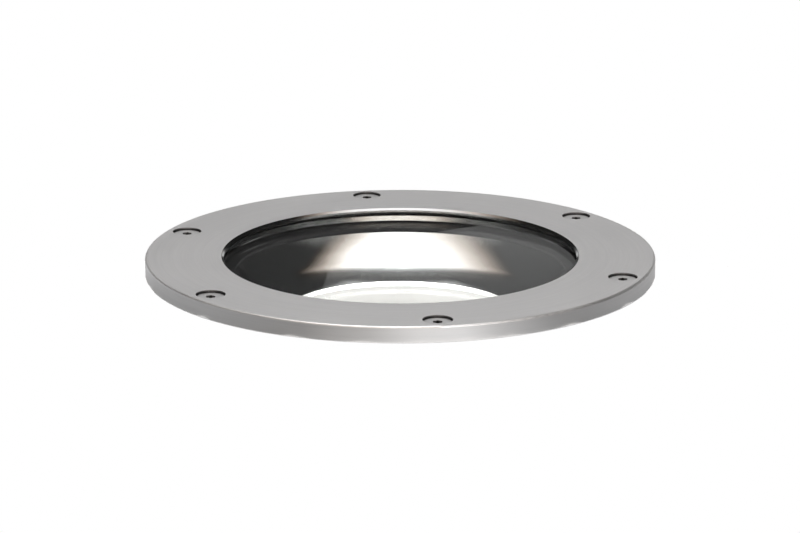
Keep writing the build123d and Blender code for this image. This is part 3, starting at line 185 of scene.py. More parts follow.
class Effect(Enum):
    """Surface effects that more than one finish uses."""

    TURNED_LINES = "Turned lines"
    MOULD_GRAIN = "Mould grain"
    ROLLED_LINES = "Rolled lines"
    HANDLING = "Handling marks"
    DUST = "Settled dust"
    EDGE_WEAR = "Edge wear"
    THREAD = "Thread turns"
    # Painted shade: darkens recesses and inner corners by ambient occlusion.
    CORNER_GRIME = "Grime in corners"


class EffectBench:
    """Builds each surface effect once, as a shader node group, and places it in materials.

    An effect's own method takes the group and its input sockets, and gives its outputs by name.
    """

    INPUTS: ClassVar[dict[Effect, dict[str, float]]] = {
        Effect.TURNED_LINES: {"Lines": 900.0, "Sweep": 2.0},
        Effect.MOULD_GRAIN: {"Fineness": 1200.0},
        Effect.ROLLED_LINES: {"Lines": 1500.0},
        Effect.HANDLING: {"Size": 0.03},
        Effect.DUST: {"Amount": 0.2, "Fineness": 400.0},
        Effect.EDGE_WEAR: {"Width": 0.0006, "Amount": 0.5},
        Effect.THREAD: {"Pitch": 0.00125, "Top": 0.0},
        Effect.CORNER_GRIME: {"Reach": 0.004, "Amount": 1.0},
    }

    def __init__(self) -> None:
        """Starts with no group built."""
        self._groups: dict[Effect, NodeTree] = {}

    def place(self, tree: NodeTree, effect: Effect, **values: float) -> Node:
        """Places an effect in a material.

        Args:
            tree: the material's node tree.
            effect: the effect to place.
            **values: the group's inputs, in lower case.

        Returns:
            The group node, whose outputs are the effect's masks and heights.
        """
        if effect not in self._groups:
            self._groups[effect] = self._group(effect)
        node = tree.nodes.new("ShaderNodeGroup")
        node.node_tree = self._groups[effect]
        node.label = effect.value
        for name, value in values.items():
            node.inputs[name.capitalize()].default_value = value
        return node

    def mask(self, tree: NodeTree, effect: Effect, **values: float) -> NodeSocket:
        """Places an effect in a material and gives its mask."""
        return self.place(tree, effect, **values).outputs["Mask"]

    def _group(self, effect: Effect) -> NodeTree:
        """Builds an effect's group from the method of the same name.

        Args:
            effect: the effect to build.

        Returns:
            The group, with named sockets.
        """
        group = bpy.data.node_groups.new(effect.value, "ShaderNodeTree")
        new_socket = group.interface.new_socket
        for name, usual in self.INPUTS[effect].items():
            new_socket(name, in_out="INPUT", socket_type="NodeSocketFloat").default_value = usual
        outputs = getattr(self, f"_{effect.name.lower()}")(group, group.nodes.new("NodeGroupInput").outputs)
        for name in outputs:
            new_socket(name, in_out="OUTPUT", socket_type="NodeSocketFloat")
        put(group, "NodeGroupOutput", outputs)
        return group

    @staticmethod
    def _turned_lines(group: NodeTree, given: Sockets) -> Outputs:
        """Fine lines round the part's axis, as a lathe or a brush leaves them."""
        around = vector_math(group, "NORMALIZE", flat_place_on(group)).outputs[0]
        swept = put(group, "ShaderNodeVectorMath", {0: around, "Scale": given["Sweep"]}, operation="SCALE")
        bearing = put(group, "ShaderNodeSeparateXYZ", {0: swept.outputs[0]})
        spot = put(group, "ShaderNodeCombineXYZ", {
            0: bearing.outputs["X"], 1: bearing.outputs["Y"],
            2: sum_up(group, "MULTIPLY", radius_on(group), given["Lines"]),
        })
        lines = put(group, "ShaderNodeTexNoise", {
            "Vector": spot.outputs[0], "W": sum_up(group, "MULTIPLY", height_on(group), given["Lines"]),
            "Scale": 1.0, "Detail": 3.0, "Roughness": 0.65,
        }, noise_dimensions="4D").outputs["Fac"]
        return {"Tone": lines, "Height": lines}

    @staticmethod
    def _mould_grain(group: NodeTree, given: Sockets) -> Outputs:
        """Fine even grain, as on cast, moulded or coated surfaces."""
        place = place_on(group)
        fine = noise(group, place, given["Fineness"], 2.0, Roughness=0.5)
        return {"Tone": noise(group, place, 22.0, 3.0), "Height": fine}

    @staticmethod
    def _rolled_lines(group: NodeTree, given: Sockets) -> Outputs:
        """Straight fine lines along X, as on rolled or milled metal."""
        drawn = vector_math(group, "MULTIPLY", place_on(group), (0.02, 1.0, 1.0)).outputs[0]
        lines = noise(group, drawn, given["Lines"], 3.0, Roughness=0.6)
        return {"Tone": lines, "Height": lines}

    @staticmethod
    def _handling(group: NodeTree, given: Sockets) -> Outputs:
        """Soft smudges where hands and rags have been."""
        scale = sum_up(group, "DIVIDE", 1.0, given["Size"])
        smudge = noise(group, place_on(group), scale, 4.0, Roughness=0.55, Distortion=0.6)
        return {"Mask": stretch(group, smudge, 0.45, 0.75)}

    @staticmethod
    def _dust(group: NodeTree, given: Sockets) -> Outputs:
        """Fine dust that lies on faces that look up."""
        place = place_on(group)
        normal = put(group, "ShaderNodeNewGeometry").outputs["Normal"]
        upward = put(group, "ShaderNodeSeparateXYZ", {0: normal}).outputs["Z"]
        specks = noise(group, place, given["Fineness"], 2.0)
        drift = sum_up(group, "MULTIPLY", specks, noise(group, place, 30.0, 2.0))
        lying = sum_up(group, "MULTIPLY", stretch(group, drift, 0.2, 0.42), stretch(group, upward, 0.2, 0.95))
        return {"Mask": sum_up(group, "MULTIPLY", lying, given["Amount"])}

    @staticmethod
    def _edge_wear(group: NodeTree, given: Sockets) -> Outputs:
        """Bare or brighter edges, broken up by noise."""
        normal = put(group, "ShaderNodeNewGeometry").outputs["Normal"]
        rounded = put(group, "ShaderNodeBevel", {"Radius": given["Width"]}, samples=4).outputs[0]
        turn = vector_math(group, "DOT_PRODUCT", rounded, normal).outputs["Value"]
        edge = stretch(group, turn, 0.995, 0.9)
        kept = stretch(group, noise(group, place_on(group), 260.0, 3.0), 0.38, 0.6)
        return {"Mask": sum_up(group, "MULTIPLY", sum_up(group, "MULTIPLY", edge, kept), given["Amount"])}

    @staticmethod
    def _thread(group: NodeTree, given: Sockets) -> Outputs:
        """The turns of a thread below a given height."""
        height = height_on(group)
        turns = sum_up(group, "PINGPONG", height, sum_up(group, "MULTIPLY", given["Pitch"], 0.5))
        return {"Height": sum_up(group, "MULTIPLY", turns, sum_up(group, "LESS_THAN", height, given["Top"]))}

    @staticmethod
    def _corner_grime(group: NodeTree, given: Sockets) -> Outputs:
        """Painted shade in recesses and inner corners, darkest where ambient occlusion finds the least open
        sky.
        """
        open_sky = put(group, "ShaderNodeAmbientOcclusion", {"Distance": given["Reach"]}, samples=12)
        hidden = stretch(group, open_sky.outputs["AO"], 0.86, 0.62)
        return {"Mask": sum_up(group, "MULTIPLY", hidden, given["Amount"])}


bench = EffectBench()


@dataclass(frozen=True)
class Finish:
    """What every finish has: a name, a colour and how matt it is."""

    name: str
    colour: Colour
    roughness: float

    def material(self) -> Material:
        """Builds the finish's material.

        Returns:
            The material, with its surface dressed.
        """
        made = bpy.data.materials.new(self.name)
        made.diffuse_color = (*self.colour, 1.0)
        tree = cleared(made)
        shader = put(tree, "ShaderNodeBsdfPrincipled", {
            "Base Color": (*self.colour, 1.0), "Roughness": self.roughness,
        })
        self.dress(tree, shader)
        put(tree, "ShaderNodeOutputMaterial", {"Surface": shader.outputs["BSDF"]})
        return made

    def dress(self, tree: NodeTree, shader: Node) -> None:
        """Adds the finish's own detail; the plain finish has none.

        Args:
            tree: the material's node tree.
            shader: the shader that the detail is led to.
        """

    def rough(self, tree: NodeTree, tone: NodeSocket, spread: float) -> NodeSocket:
        """Roughness that goes up and down by a spread, with a tone about 0.5."""
        return stretch(tree, tone, 0.25, 0.75, self.roughness - spread, self.roughness + spread)

    def shaded(self, tree: NodeTree, tone: NodeSocket, depth: float) -> NodeSocket:
        """The finish's colour, a little lighter and darker with a tone.

        Args:
            tree: the material's node tree.
            tone: a value about 0.5 that changes over the surface.
            depth: the share of the colour that the tone takes or gives.

        Returns:
            The colour.
        """
        dark = tuple(part * (1.0 - depth) for part in self.colour)
        light = tuple(min(1.0, part * (1.0 + depth)) for part in self.colour)
        return blend(tree, stretch(tree, tone, 0.25, 0.75), dark, light)


def dented(tree: NodeTree, shader: Node, height: NodeSocket, strength: float, reach: float) -> None:
    """Leads a height, whose size is given in metres, through a Bump node to the shader's normal."""
    bump = put(tree, "ShaderNodeBump", {"Height": height, "Strength": strength, "Distance": reach})
    tree.links.new(bump.outputs["Normal"], shader.inputs["Normal"])


def coated(tree: NodeTree, shader: Node, colour: NodeSocket, matt: NodeSocket) -> None:
    """Leads a colour and a roughness to the shader."""
    tree.links.new(colour, shader.inputs["Base Color"])
    tree.links.new(matt, shader.inputs["Roughness"])


@dataclass(frozen=True)
class TurnedMetal(Finish):
    """Metal turned, spun or brushed in circles, with or without a smooth chamfer inside it that is painted
    darker as painted shade.
    """

    lines: float = 900.0
    depth: float = 0.05
    relief: float = 0.1
    smudge: float = 0.05
    dust: float = 0.0
    # Strength of the painted shade in recesses and corners, and the radius within which it is painted.
    grime: float = 0.0
    clean_radius: float = 0.142
    chamfer_radius: float = 0.0
    chamfer_roughness: float = 0.12
    # The chamfer's colour, darker than the metal: painted shade on its reflection.
    chamfer: Colour = (0.3, 0.3, 0.3)

    def dress(self, tree: NodeTree, shader: Node) -> None:
        """Adds circular lines, smudges, the chamfer's painted shade, a little dust, and painted shade in
        corners within a radius of the axis.
        """
        shader.inputs["Metallic"].default_value = 1.0
        turned_lines = bench.place(tree, Effect.TURNED_LINES, lines=self.lines)
        metal = self.shaded(tree, turned_lines.outputs["Tone"], self.depth)
        matt = self.rough(tree, turned_lines.outputs["Tone"], self.roughness * 0.1)
        matt = sum_up(tree, "MULTIPLY_ADD", bench.mask(tree, Effect.HANDLING, size=0.05), self.smudge, matt)
        # Painted shade: the chamfer's colour is darkened.
        if self.chamfer_radius:
            outside = sum_up(tree, "GREATER_THAN", radius_on(tree), self.chamfer_radius)
            metal = blend(tree, outside, self.chamfer, metal)
            matt = stretch(tree, outside, 0.0, 1.0, self.chamfer_roughness, matt)
        if self.dust:
            metal = blend(tree, bench.mask(tree, Effect.DUST, amount=self.dust), metal, (0.42, 0.41, 0.4))
        # Painted shade in recesses and inner corners, within a radius of the axis.
        if self.grime:
            inside = sum_up(tree, "LESS_THAN", radius_on(tree), self.clean_radius)
            shade_mask = bench.mask(tree, Effect.CORNER_GRIME, amount=self.grime)
            metal = blend(tree, sum_up(tree, "MULTIPLY", shade_mask, inside), metal, PAINTED_SHADE)
        coated(tree, shader, metal, matt)
        if self.relief:
            dented(tree, shader, turned_lines.outputs["Height"], self.relief, 0.00002)


@dataclass(frozen=True)
class CollarMetal(TurnedMetal):
    """The collar's polished aluminium, black and matt on its flat plate, up to the plate's top."""

    plate_top: float = -0.0076
    black: Colour = (0.04, 0.04, 0.041)
    black_roughness: float = 0.65

    def dress(self, tree: NodeTree, shader: Node) -> None:
        """Adds circular lines, and the black coat up to the plate's top."""
        shader.inputs["Specular IOR Level"].default_value = 0.0
        turned_lines = bench.place(tree, Effect.TURNED_LINES, lines=self.lines)
        bare = sum_up(tree, "GREATER_THAN", height_on(tree), self.plate_top)
        metal = self.shaded(tree, turned_lines.outputs["Tone"], self.depth)
        tree.links.new(bare, shader.inputs["Metallic"])
        matt = stretch(tree, bare, 0.0, 1.0, self.black_roughness, self.roughness)
        coated(tree, shader, blend(tree, bare, self.black, metal), matt)


@dataclass(frozen=True)
class SheetMetal(Finish):
    """Rolled or milled metal with straight lines."""

    relief: float = 0.15
    wear: float = 0.3

    def dress(self, tree: NodeTree, shader: Node) -> None:
        """Adds rolling lines, smudges and brighter edges."""
        shader.inputs["Metallic"].default_value = 1.0
        lines = bench.place(tree, Effect.ROLLED_LINES)
        worn = bench.mask(tree, Effect.EDGE_WEAR, width=0.0004, amount=self.wear)
        metal = blend(tree, worn, self.shaded(tree, lines.outputs["Tone"], 0.08), (0.85, 0.85, 0.84))
        matt = self.rough(tree, lines.outputs["Tone"], 0.05)
        matt = sum_up(tree, "MULTIPLY_ADD", bench.mask(tree, Effect.HANDLING, size=0.02), 0.1, matt)
        coated(tree, shader, metal, matt)
        dented(tree, shader, lines.outputs["Height"], self.relief, 0.00003)


@dataclass(frozen=True)
class ScrewMetal(Finish):
    """Machined screws, with thread turns below a given height."""

    pitch: float = 0.00125
    thread_top: float = -0.002
    # Strength of the painted shade in the socket and corners.
    grime: float = 0.9

    def dress(self, tree: NodeTree, shader: Node) -> None:
        """Adds grain, smudges, the thread, and painted shade in the socket and other corners."""
        shader.inputs["Metallic"].default_value = 1.0
        grain = bench.place(tree, Effect.MOULD_GRAIN, fineness=2500.0)
        turns = bench.place(tree, Effect.THREAD, pitch=self.pitch, top=self.thread_top).outputs["Height"]
        # Painted shade in the socket and other corners, from ambient occlusion.
        shade_mask = bench.mask(tree, Effect.CORNER_GRIME, amount=self.grime)
        metal = blend(tree, shade_mask, self.shaded(tree, grain.outputs["Tone"], 0.06), PAINTED_SHADE)
        matt = self.rough(tree, grain.outputs["Height"], 0.05)
        matt = sum_up(tree, "MULTIPLY_ADD", bench.mask(tree, Effect.HANDLING, size=0.006), 0.08, matt)
        coated(tree, shader, metal, matt)
        dented(tree, shader, turns, 1.0, 1.0)


@dataclass(frozen=True)
class Moulded(Finish):
    """Moulded plastic or rubber: grained, rubbed at its edges and dusty."""

    fineness: float = 1600.0
    relief: float = 0.2
    relief_size: float = 0.00006
    depth: float = 0.08
    spread: float = 0.07
    wear: float = 0.2
    wear_width: float = 0.0005
    bare: Colour | None = None
    dust: float = 0.1
    dust_fineness: float = 400.0
    dust_colour: Colour = (0.5, 0.48, 0.44)
    bloom: float = 0.0

    def dress(self, tree: NodeTree, shader: Node) -> None:
        """Adds the grain, rubbed or bare edges, dust and, on rubber, a bloom."""
        shader.inputs["Sheen Weight"].default_value = self.bloom
        grain = bench.place(tree, Effect.MOULD_GRAIN, fineness=self.fineness)
        skin = self.shaded(tree, grain.outputs["Tone"], self.depth)
        if self.wear:
            worn = bench.mask(tree, Effect.EDGE_WEAR, width=self.wear_width, amount=self.wear)
            rubbed = self.bare or tuple(min(1.0, part * 1.25 + 0.04) for part in self.colour)
            skin = blend(tree, worn, skin, rubbed)
            if self.bare:
                tree.links.new(worn, shader.inputs["Metallic"])
        specks = bench.mask(tree, Effect.DUST, amount=self.dust, fineness=self.dust_fineness)
        matt = self.rough(tree, grain.outputs["Tone"], self.spread)
        coated(tree, shader, blend(tree, specks, skin, self.dust_colour), matt)
        dented(tree, shader, grain.outputs["Height"], self.relief, self.relief_size)


@dataclass(frozen=True)
class CoatedMetal(Moulded):
    """Cast metal under a powder coat, chipped at its edges."""

    fineness: float = 900.0
    relief: float = 0.35
    relief_size: float = 0.0001
    depth: float = 0.12
    spread: float = 0.08
    wear: float = 0.5
    wear_width: float = 0.0007
    bare: Colour | None = (0.6, 0.6, 0.61)
    dust: float = 0.15


@dataclass(frozen=True)
class ClearGlass(Finish):
    """Clear toughened glass, wiped but not quite clean."""

    bend: float = 1.5

    def dress(self, tree: NodeTree, shader: Node) -> None:
        """Sets the glass, and roughens it a trace where it was wiped."""
        shader.inputs["Transmission Weight"].default_value = 1.0
        shader.inputs["IOR"].default_value = self.bend
        smudges = bench.mask(tree, Effect.HANDLING, size=0.04)
        tree.links.new(sum_up(tree, "MULTIPLY", smudges, 0.012), shader.inputs["Roughness"])


@dataclass(frozen=True)
class OpalSheet(Finish):
    """Opal acrylic that spreads the light, brightest in the middle."""

    glow: float = 0.0
    edge_glow: float = 0.0
    core: float = 0.026
    edge: float = 0.058

    def dress(self, tree: NodeTree, shader: Node) -> None:
        """Adds a fine satin grain and the sheet's own glow."""
        grain = bench.place(tree, Effect.MOULD_GRAIN, fineness=3000.0)
        tone = grain.outputs["Tone"]
        coated(tree, shader, self.shaded(tree, tone, 0.02), self.rough(tree, tone, 0.05))
        lit = stretch(tree, radius_on(tree), self.core, self.edge, self.glow, self.edge_glow)
        lit.node.interpolation_type = "SMOOTHSTEP"
        shader.inputs["Emission Color"].default_value = (1.0, 0.985, 0.965, 1.0)
        tree.links.new(lit, shader.inputs["Emission Strength"])
        dented(tree, shader, grain.outputs["Height"], 0.1, 0.00004)


@dataclass(frozen=True)
class WireSkin(Finish):
    """The insulation of a single wire, with or without a stripe."""

    stripe: Colour | None = None

    def dress(self, tree: NodeTree, shader: Node) -> None:
        """Adds handling marks and the stripe."""
        smudges = bench.mask(tree, Effect.HANDLING, size=0.008)
        skin = self.shaded(tree, smudges, 0.1)
        if self.stripe:
            stripes = {"Vector": place_on(tree), "Scale": 60.0}
            wave = put(tree, "ShaderNodeTexWave", stripes, bands_direction="DIAGONAL").outputs["Fac"]
            skin = blend(tree, sum_up(tree, "GREATER_THAN", wave, 0.5), skin, self.stripe)
        coated(tree, shader, skin, self.rough(tree, smudges, 0.08))


@dataclass(frozen=True)
class BoardCoat(Finish):
    """The lacquer of a circuit board, with tracks that show through it."""

    track: Colour = (0.75, 0.74, 0.7)
    track_pitch: float = 160.0

    def dress(self, tree: NodeTree, shader: Node) -> None:
        """Adds tracks and the lacquer's gloss."""
        cells = put(tree, "ShaderNodeTexBrick", {
            "Vector": place_on(tree), "Scale": self.track_pitch, "Mortar Size": 0.03, "Mortar Smooth": 0.0,
        }).outputs["Fac"]
        grain = bench.place(tree, Effect.MOULD_GRAIN, fineness=1800.0)
        skin = self.shaded(tree, grain.outputs["Tone"], 0.04)
        matt = self.rough(tree, grain.outputs["Tone"], 0.06)
        coated(tree, shader, blend(tree, cells, skin, self.track), matt)
        dented(tree, shader, cells, 0.2, 0.00005)


class Slot(StrEnum):
    """The record's material slots, each called as here but in lower case."""

    BRUSHED_STAINLESS = auto()
    STAINLESS_FASTENERS = auto()
    STAINLESS_SHEET = auto()
    CLEAR_GLASS = auto()
    BLACK_RUBBER = auto()
    CAST_ALUMINIUM = auto()
    PLAIN_ALUMINIUM = auto()
    POLISHED_ALUMINIUM = auto()
    OPAL_ACRYLIC = auto()
    WHITE_PLASTIC = auto()
    LED_LENS = auto()
    CIRCUIT = auto()
    GREY_PLASTIC = auto()
    ORANGE_PLASTIC = auto()
    NICKEL_BRASS = auto()
    BRASS = auto()
    TINNED_COPPER = auto()
    BLACK_PLASTIC = auto()
    MEMBRANE = auto()
    RED_WIRE = auto()
    BLACK_WIRE = auto()
    BROWN_WIRE = auto()
    BLUE_WIRE = auto()
    GREEN_WIRE = auto()


SlotNodes = dict[Slot, tuple[str, ...]]

FINISHES: dict[Slot, Finish] = {
    # The ring's recesses get painted shade, and its chamfer is painted darker as painted shade.
    Slot.BRUSHED_STAINLESS: TurnedMetal(
        "Ring, brushed in circles", (0.78, 0.78, 0.785), 0.48, depth=0.04, relief=0.08, dust=0.02, grime=0.95,
        chamfer_radius=0.1016,
    ),
    Slot.STAINLESS_FASTENERS: ScrewMetal("Screws, machined", (0.74, 0.74, 0.745), 0.45),
    Slot.STAINLESS_SHEET: SheetMetal("Stainless sheet, rolled", (0.6, 0.6, 0.6), 0.35),
    Slot.CLEAR_GLASS: ClearGlass("Toughened glass", (0.98, 0.995, 0.99), 0.0),
    Slot.BLACK_RUBBER: Moulded(
        "Black silicone", (0.025, 0.025, 0.025), 0.65, fineness=2200.0, relief=0.15, relief_size=0.00005,
        depth=0.2, spread=0.08, wear=0.0, dust=0.25, dust_fineness=700.0, dust_colour=(0.4, 0.39, 0.36),
        bloom=0.1,
    ),
    Slot.CAST_ALUMINIUM: CoatedMetal("Casting, dark powder coat", (0.1, 0.105, 0.11), 0.5),
    Slot.PLAIN_ALUMINIUM: SheetMetal("Aluminium, milled", (0.7, 0.71, 0.72), 0.4),
    Slot.POLISHED_ALUMINIUM: TurnedMetal(
        "Reflector, spun and polished", (0.88, 0.88, 0.88), 0.1,
        lines=600.0, depth=0.01, relief=0.0, smudge=0.0,
    ),
    Slot.OPAL_ACRYLIC: OpalSheet("Opal diffuser, lit", (0.95, 0.95, 0.93), 0.4, glow=7.5, edge_glow=1.3),
    Slot.WHITE_PLASTIC: Moulded("White moulding", (0.86, 0.86, 0.84), 0.45, dust=0.03),
    Slot.LED_LENS: OpalSheet("Light emitter, phosphor", (0.95, 0.82, 0.3), 0.25, glow=0.1, edge_glow=0.1),
    Slot.CIRCUIT: BoardCoat("Driver board and its parts", (0.02, 0.12, 0.05), 0.4),
    Slot.GREY_PLASTIC: Moulded("Terminal block, grey", (0.5, 0.5, 0.49), 0.45),
    Slot.ORANGE_PLASTIC: Moulded("Clamping levers, orange", (0.8, 0.27, 0.03), 0.35, dust=0.03),
    Slot.NICKEL_BRASS: TurnedMetal(
        "Glands, nickel plated", (0.72, 0.69, 0.64), 0.28, lines=500.0, relief=0.0,
    ),
    Slot.BRASS: TurnedMetal("Inserts, turned brass", (0.78, 0.58, 0.28), 0.32, lines=500.0, relief=0.0),
    Slot.TINNED_COPPER: SheetMetal("Earth lug, tinned", (0.7, 0.7, 0.68), 0.38),
    Slot.BLACK_PLASTIC: Moulded(
        "Sleeve, fibre filled", (0.028, 0.028, 0.03), 0.5, fineness=900.0, relief=0.3,
    ),
    Slot.MEMBRANE: Moulded("Breather film", (0.85, 0.85, 0.85), 0.7, dust=0.0),
    Slot.RED_WIRE: WireSkin("Lead, red", (0.5, 0.02, 0.015), 0.35),
    Slot.BLACK_WIRE: WireSkin("Lead, black", (0.02, 0.02, 0.02), 0.35),
    Slot.BROWN_WIRE: WireSkin("Lead, brown", (0.13, 0.05, 0.02), 0.35),
    Slot.BLUE_WIRE: WireSkin("Lead, blue", (0.02, 0.09, 0.4), 0.35),
    Slot.GREEN_WIRE: WireSkin(
        "Earth lead, green and yellow", (0.05, 0.3, 0.04), 0.35, stripe=(0.8, 0.65, 0.02),
    ),
}
COLLAR_FINISH = CollarMetal("Collar, blackened plate", (0.92, 0.92, 0.92), 0.15, lines=600.0, depth=0.01)
CUP_FINISH = CoatedMetal("Cup, white coated", (0.9, 0.9, 0.89), 0.4, relief=0.05, wear=0.0, bare=None)


class Workshop:
    """Keeps one material for each finish."""

    def __init__(self) -> None:
        """Starts with no material made."""
        self._made: dict[Finish, Material] = {}

    def material(self, finish: Finish) -> Material:
        """Gives a finish's material, making it at the first call.

        Args:
            finish: the finish wanted.

        Returns:
            The material of that finish.
        """
        if finish not in self._made:
            self._made[finish] = finish.material()
        return self._made[finish]


def tangent_arc(start: tuple[float, float], end: tuple[float, float], slope: float, steps: int) -> Outline:
    """Points of the arc that leaves one point at a given slope and ends in another.

    Args:
        start: the first point, as radius and height.
        end: the last point.
        slope: the arc's slope at its start, in degrees.
        steps: how many parts the arc has.

    Returns:
        The arc's points, both ends among them.
    """
    across, rise = end[0] - start[0], end[1] - start[1]
    left = (-sin(radians(slope)), cos(radians(slope)))
    reach = (across**2 + rise**2) / (2 * (across * left[0] + rise * left[1]))
    centre = (start[0] + reach * left[0], start[1] + reach * left[1])
    first = atan2(start[1] - centre[1], start[0] - centre[0])
    last = atan2(end[1] - centre[1], end[0] - centre[0])
    return [
        (centre[0] + abs(reach) * cos(first + (last - first) * k / steps),
         centre[1] + abs(reach) * sin(first + (last - first) * k / steps))
        for k in range(steps + 1)
    ]


def toward(rise: float, bearing: float) -> Vector:
    """The direction at an angle over the horizon and a bearing from the far side to the right, in degrees."""
    lift, turn = radians(rise), radians(bearing)
    return Vector((cos(lift) * sin(turn), cos(lift) * cos(turn), sin(lift)))


def turned(name: str, outline: Outline, steps: int = 384) -> Object:
    """Turns a closed outline about the part's axis.

    Args:
        name: the piece's name.
        outline: radius and height of each corner, in millimetres.
        steps: how many faces go once round.

    Returns:
        The piece, smooth apart from its real corners.
    """
    mesh = bpy.data.meshes.new(name)
    shape = bmesh.new()
    rings = []
    for radius, height in outline:
        count = steps if radius > 0 else 1
        rings.append([
            shape.verts.new(Vector((
                radius * cos(2 * pi * k / steps), radius * sin(2 * pi * k / steps), height,
            )) * MILLIMETRE)
            for k in range(count)
        ])
    for ring, following in zip(rings, rings[1:] + rings[:1]):
        if len(ring) == len(following) == 1:
            continue
        for k in range(steps):
            corners = [ring[k % len(ring)], ring[(k + 1) % len(ring)],
                       following[(k + 1) % len(following)], following[k % len(following)]]
            shape.faces.new(list(dict.fromkeys(corners)))
    bmesh.ops.recalc_face_normals(shape, faces=shape.faces)
    shape.to_mesh(mesh)
    shape.free()
    mesh.shade_smooth()
    mesh.set_sharp_from_angle(angle=radians(SHARP_CORNER))
    return added(name, mesh)


@dataclass
class SubAssembly:
    """Nodes of the frame that belong together, and the pieces built in their place."""

    shop: Workshop
    title: ClassVar[str]
    finishes: ClassVar[SlotNodes]

    def build(self) -> None:
        """Gives the CAD nodes their slots' materials."""
        for slot, nodes in self.finishes.items():
            for node in nodes:
                frame["nodes"][node].material_slots[0].material = self.shop.material(FINISHES[slot])
                log.info("%s: %s finished as %s", self.title, node, slot.value)

    def fit(self, piece: Object, slot: Slot, node: str, finish: Finish | None = None) -> None:
        """Puts a built piece in a CAD node's place, on the node's body.

        Args:
            piece: the built piece.
            slot: the slot that it belongs to.
            node: the node that it stands for.
            finish: its own finish, where it isn't the slot's usual one.
        """
        piece.data.materials.append(self.shop.material(finish or FINISHES[slot]))
        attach(piece, frame["nodes"][node]["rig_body"])
        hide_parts(node)
        log.info("%s: %s built as %s", self.title, piece.name, slot.value)


@dataclass
class GlassCover(SubAssembly):
    """The trim ring with its screws, glass, gasket and retainer."""

    glass_radius: float = 115.0
    glass_top: float = 5.7
    glass_low: float = -4.3
    glass_chamfer: float = 0.8
    gasket_back: float = 115.15
    gasket_outer: float = 117.35
    gasket_leg: float = 1.2
    gasket_top_inner: float = 102.4
    gasket_low_inner: float = 109.4
    title: ClassVar[str] = "Glass cover"
    finishes: ClassVar[SlotNodes] = {
        Slot.BRUSHED_STAINLESS: ("trim_ring",),
        Slot.STAINLESS_FASTENERS: ("ring_screws", "retainer_screws"),
        Slot.STAINLESS_SHEET: ("glass_retainer",),
    }

    def build(self) -> None:
        """Builds the glass and its gasket, and finishes the rest."""
        self.fit(self.glass(), Slot.CLEAR_GLASS, "safety_glass")
        self.fit(self.gasket(), Slot.BLACK_RUBBER, "glass_gasket")
        super().build()

    def glass(self) -> Object:
        """Turns the glass disc with its ground edges."""
        radius, top, low, edge = self.glass_radius, self.glass_top, self.glass_low, self.glass_chamfer
        return turned("glass_pane", [
            (0, top), (radius - edge, top), (radius, top - edge),
            (radius, low + edge), (radius - edge, low), (0, low),
        ])

    def gasket(self) -> Object:
        """Turns the gasket, a U round the edge of the glass."""
        top, low, leg = self.glass_top, self.glass_low, self.gasket_leg
        return turned("glass_seal", [
            (self.gasket_top_inner, top), (self.gasket_top_inner, top + leg - 0.3),
            (self.gasket_top_inner + 0.3, top + leg),
            (self.gasket_outer - 0.3, top + leg), (self.gasket_outer, top + leg - 0.3),
            (self.gasket_outer, low - leg), (self.gasket_low_inner, low - leg), (self.gasket_low_inner, low),
            (self.gasket_back, low), (self.gasket_back, top),
        ])


@dataclass
class Optics(SubAssembly):
    """The collar under the glass, the bowl, the cup and the opal disc."""

    lip_radius: float = 69.0
    lip_height: float = -34.5
    mouth_radius: float = 97.0
    mouth_height: float = -10.1
    lip_slope: float = 22.0
    sheet: float = 0.8
    lip_drop: float = 2.6
    flange_radius: float = 115.4
    title: ClassVar[str] = "Optics"
    finishes: ClassVar[SlotNodes] = {
        Slot.STAINLESS_FASTENERS: ("collar_screws", "frame_screws"),
        Slot.WHITE_PLASTIC: ("diffuser_frame",),
    }

    def build(self) -> None:
        """Builds the bowl, cup, collar and opal disc, and finishes their screws."""
        self.fit(self.bowl(), Slot.POLISHED_ALUMINIUM, "upper_reflector")
        self.fit(self.cup(), Slot.POLISHED_ALUMINIUM, "lower_reflector", CUP_FINISH)
        self.fit(self.collar(), Slot.POLISHED_ALUMINIUM, "reflector_collar", COLLAR_FINISH)
        self.fit(self.opal_disc(), Slot.OPAL_ACRYLIC, "diffuser")
        super().build()

    def bowl(self) -> Object:
        """Turns the spun bowl with its lip and its flange."""
        inside = tangent_arc(
            (self.lip_radius, self.lip_height), (self.mouth_radius, self.mouth_height), self.lip_slope, 48
        )
        outside = tangent_arc(
            (self.lip_radius + self.sheet, self.lip_height - 0.54),
            (self.mouth_radius + self.sheet / 2, self.mouth_height - self.sheet), self.lip_slope, 24,
        )
        low = self.lip_height - self.lip_drop
        return turned("reflector_bowl", [
            (self.lip_radius, low), *inside, (self.flange_radius, self.mouth_height),
            (self.flange_radius, self.mouth_height - self.sheet), *reversed(outside),
            (self.lip_radius + self.sheet, low),
        ])

    def cup(self) -> Object:
        """Turns the cup between the opal disc and the bowl's lip."""
        return turned("reflector_cup", [
            (65.0, -49.2), (72.0, -49.2), (72.0, -48.4), (65.8, -48.4), (70.9, -38.34), (70.9, -35.34),
            (70.1, -35.34), (70.1, -38.34),
        ])

    def collar(self) -> Object:
        """Turns the collar: a flat plate with a flared upstand under the glass."""
        return turned("collar_plate", [
            (94.3, -9.9), (94.5, -10.1), (115.4, -10.1), (115.4, -8.3), (109.2, -8.3), (109.2, -5.2),
            (108.8, -4.8), (108.4, -4.8), (108.1, -5.0), (106.4, -8.3), (94.5, -8.3), (94.3, -8.5),
        ])

    def opal_disc(self) -> Object:
        """Turns the opal disc."""
        return turned("opal_disc", [
            (0, -49.2), (71.6, -49.2), (72.0, -49.6), (72.0, -51.0), (71.6, -51.4), (0, -51.4),
        ], steps=192)


